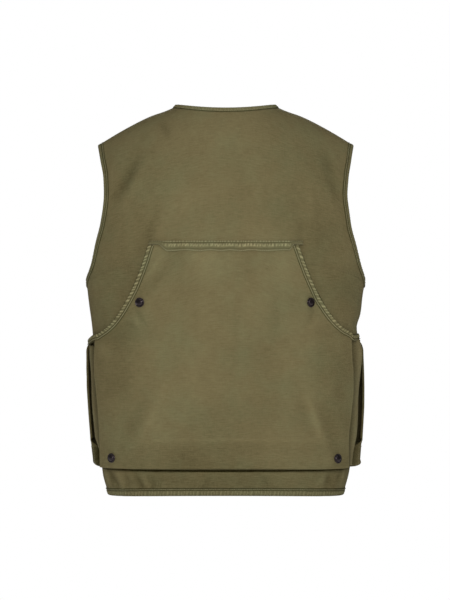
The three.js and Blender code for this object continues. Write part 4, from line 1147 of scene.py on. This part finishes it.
stage = {"floorZ": -1.45, "floorRadius": 9.0, "floorPoints": 96, "plainTo": 1.2, "whiteFrom": 4.5,
         "floorGrey": 0.5, "glow": 0.55, "roughness": 0.9, "evenLight": 0.14}
view = {"place": (-0.00124, -4.5, -0.3192), "lens": 163.24, "sensor": 36}
lights = {  # place, width, height, power, all turned to the middle of the vest
    "key": ((0.0, -4.3, 0.7), 1.3, 0.6, 99.5),
    "top": ((0.0, -1.6, 3.2), 2.4, 1.6, 32),
    "front": ((0.2, 4.0, 1.1), 2.0, 1.2, 90),
}
aim = Vector((0, 0, -0.32))

# Round floor, grey under the vest and fading to the white of the studio at its edge.
rim = np.linspace(0, 2 * np.pi, stage["floorPoints"], endpoint=False)
floorMesh = bpy.data.meshes.new("floor")
floorMesh.from_pydata(np.stack([stage["floorRadius"] * np.cos(rim), stage["floorRadius"] * np.sin(rim),
                                stage["floorZ"] + 0 * rim], 1).tolist(), [], [list(range(len(rim)))])
floor = placed("floor", floorMesh)
floorMaterial, tree, shader = newMaterial("pale floor")
place = addNode(tree, "ShaderNodeTexCoord").outputs["Object"]
level = addNode(tree, "ShaderNodeVectorMath", {0: place, 1: (1, 1, 0)}, operation="MULTIPLY").outputs[0]
radius = addNode(tree, "ShaderNodeVectorMath", {0: level}, operation="LENGTH").outputs["Value"]
fade = {"Value": radius, "From Min": stage["plainTo"], "From Max": stage["whiteFrom"]}
white = addNode(tree, "ShaderNodeMapRange", fade, interpolation_type="SMOOTHSTEP").outputs[0]
grey = mathNode(tree, "MULTIPLY_ADD", white, -stage["floorGrey"], stage["floorGrey"])
glow = mathNode(tree, "MULTIPLY_ADD", white, 1 - stage["glow"], stage["glow"])
tree.links.new(grey, shader.inputs["Base Color"])
tree.links.new(glow, shader.inputs["Emission Color"])
shader.inputs["Emission Strength"].default_value = 1.0
shader.inputs["Roughness"].default_value = stage["roughness"]
shader.inputs["Specular IOR Level"].default_value = 0.0
floorMesh.materials.append(floorMaterial)

for name, (place, width, height, power) in lights.items():
    lamp = bpy.data.lights.new(name, "AREA")
    lamp.shape = "RECTANGLE"
    lamp.size = width
    lamp.size_y = height
    lamp.energy = power
    lampObject = placed(name, lamp)
    lampObject.location = place
    lampObject.rotation_euler = (aim - Vector(place)).to_track_quat("-Z", "Y").to_euler()

# White behind the vest for the camera, and a dimmer even light on everything else.
world = bpy.data.worlds.new("studio")
bpy.context.scene.world = world
world.use_nodes = True
tree = world.node_tree
seen = addNode(tree, "ShaderNodeLightPath").outputs["Is Camera Ray"]
strength = mathNode(tree, "MULTIPLY_ADD", seen, 1 - stage["evenLight"], stage["evenLight"])
tree.links.new(strength, tree.nodes["Background"].inputs["Strength"])
tree.nodes["Background"].inputs["Color"].default_value = (1, 1, 1, 1)

camera = placed("camera", bpy.data.cameras.new("camera"))
camera.location = view["place"]
camera.rotation_euler = (np.pi / 2, 0, 0)
camera.data.lens = view["lens"]
camera.data.sensor_width = view["sensor"]
camera.data.sensor_fit = "AUTO"
bpy.context.scene.camera = camera
bpy.context.scene.view_settings.view_transform = "Standard"
print("stage made")

bpy.context.view_layer.update()
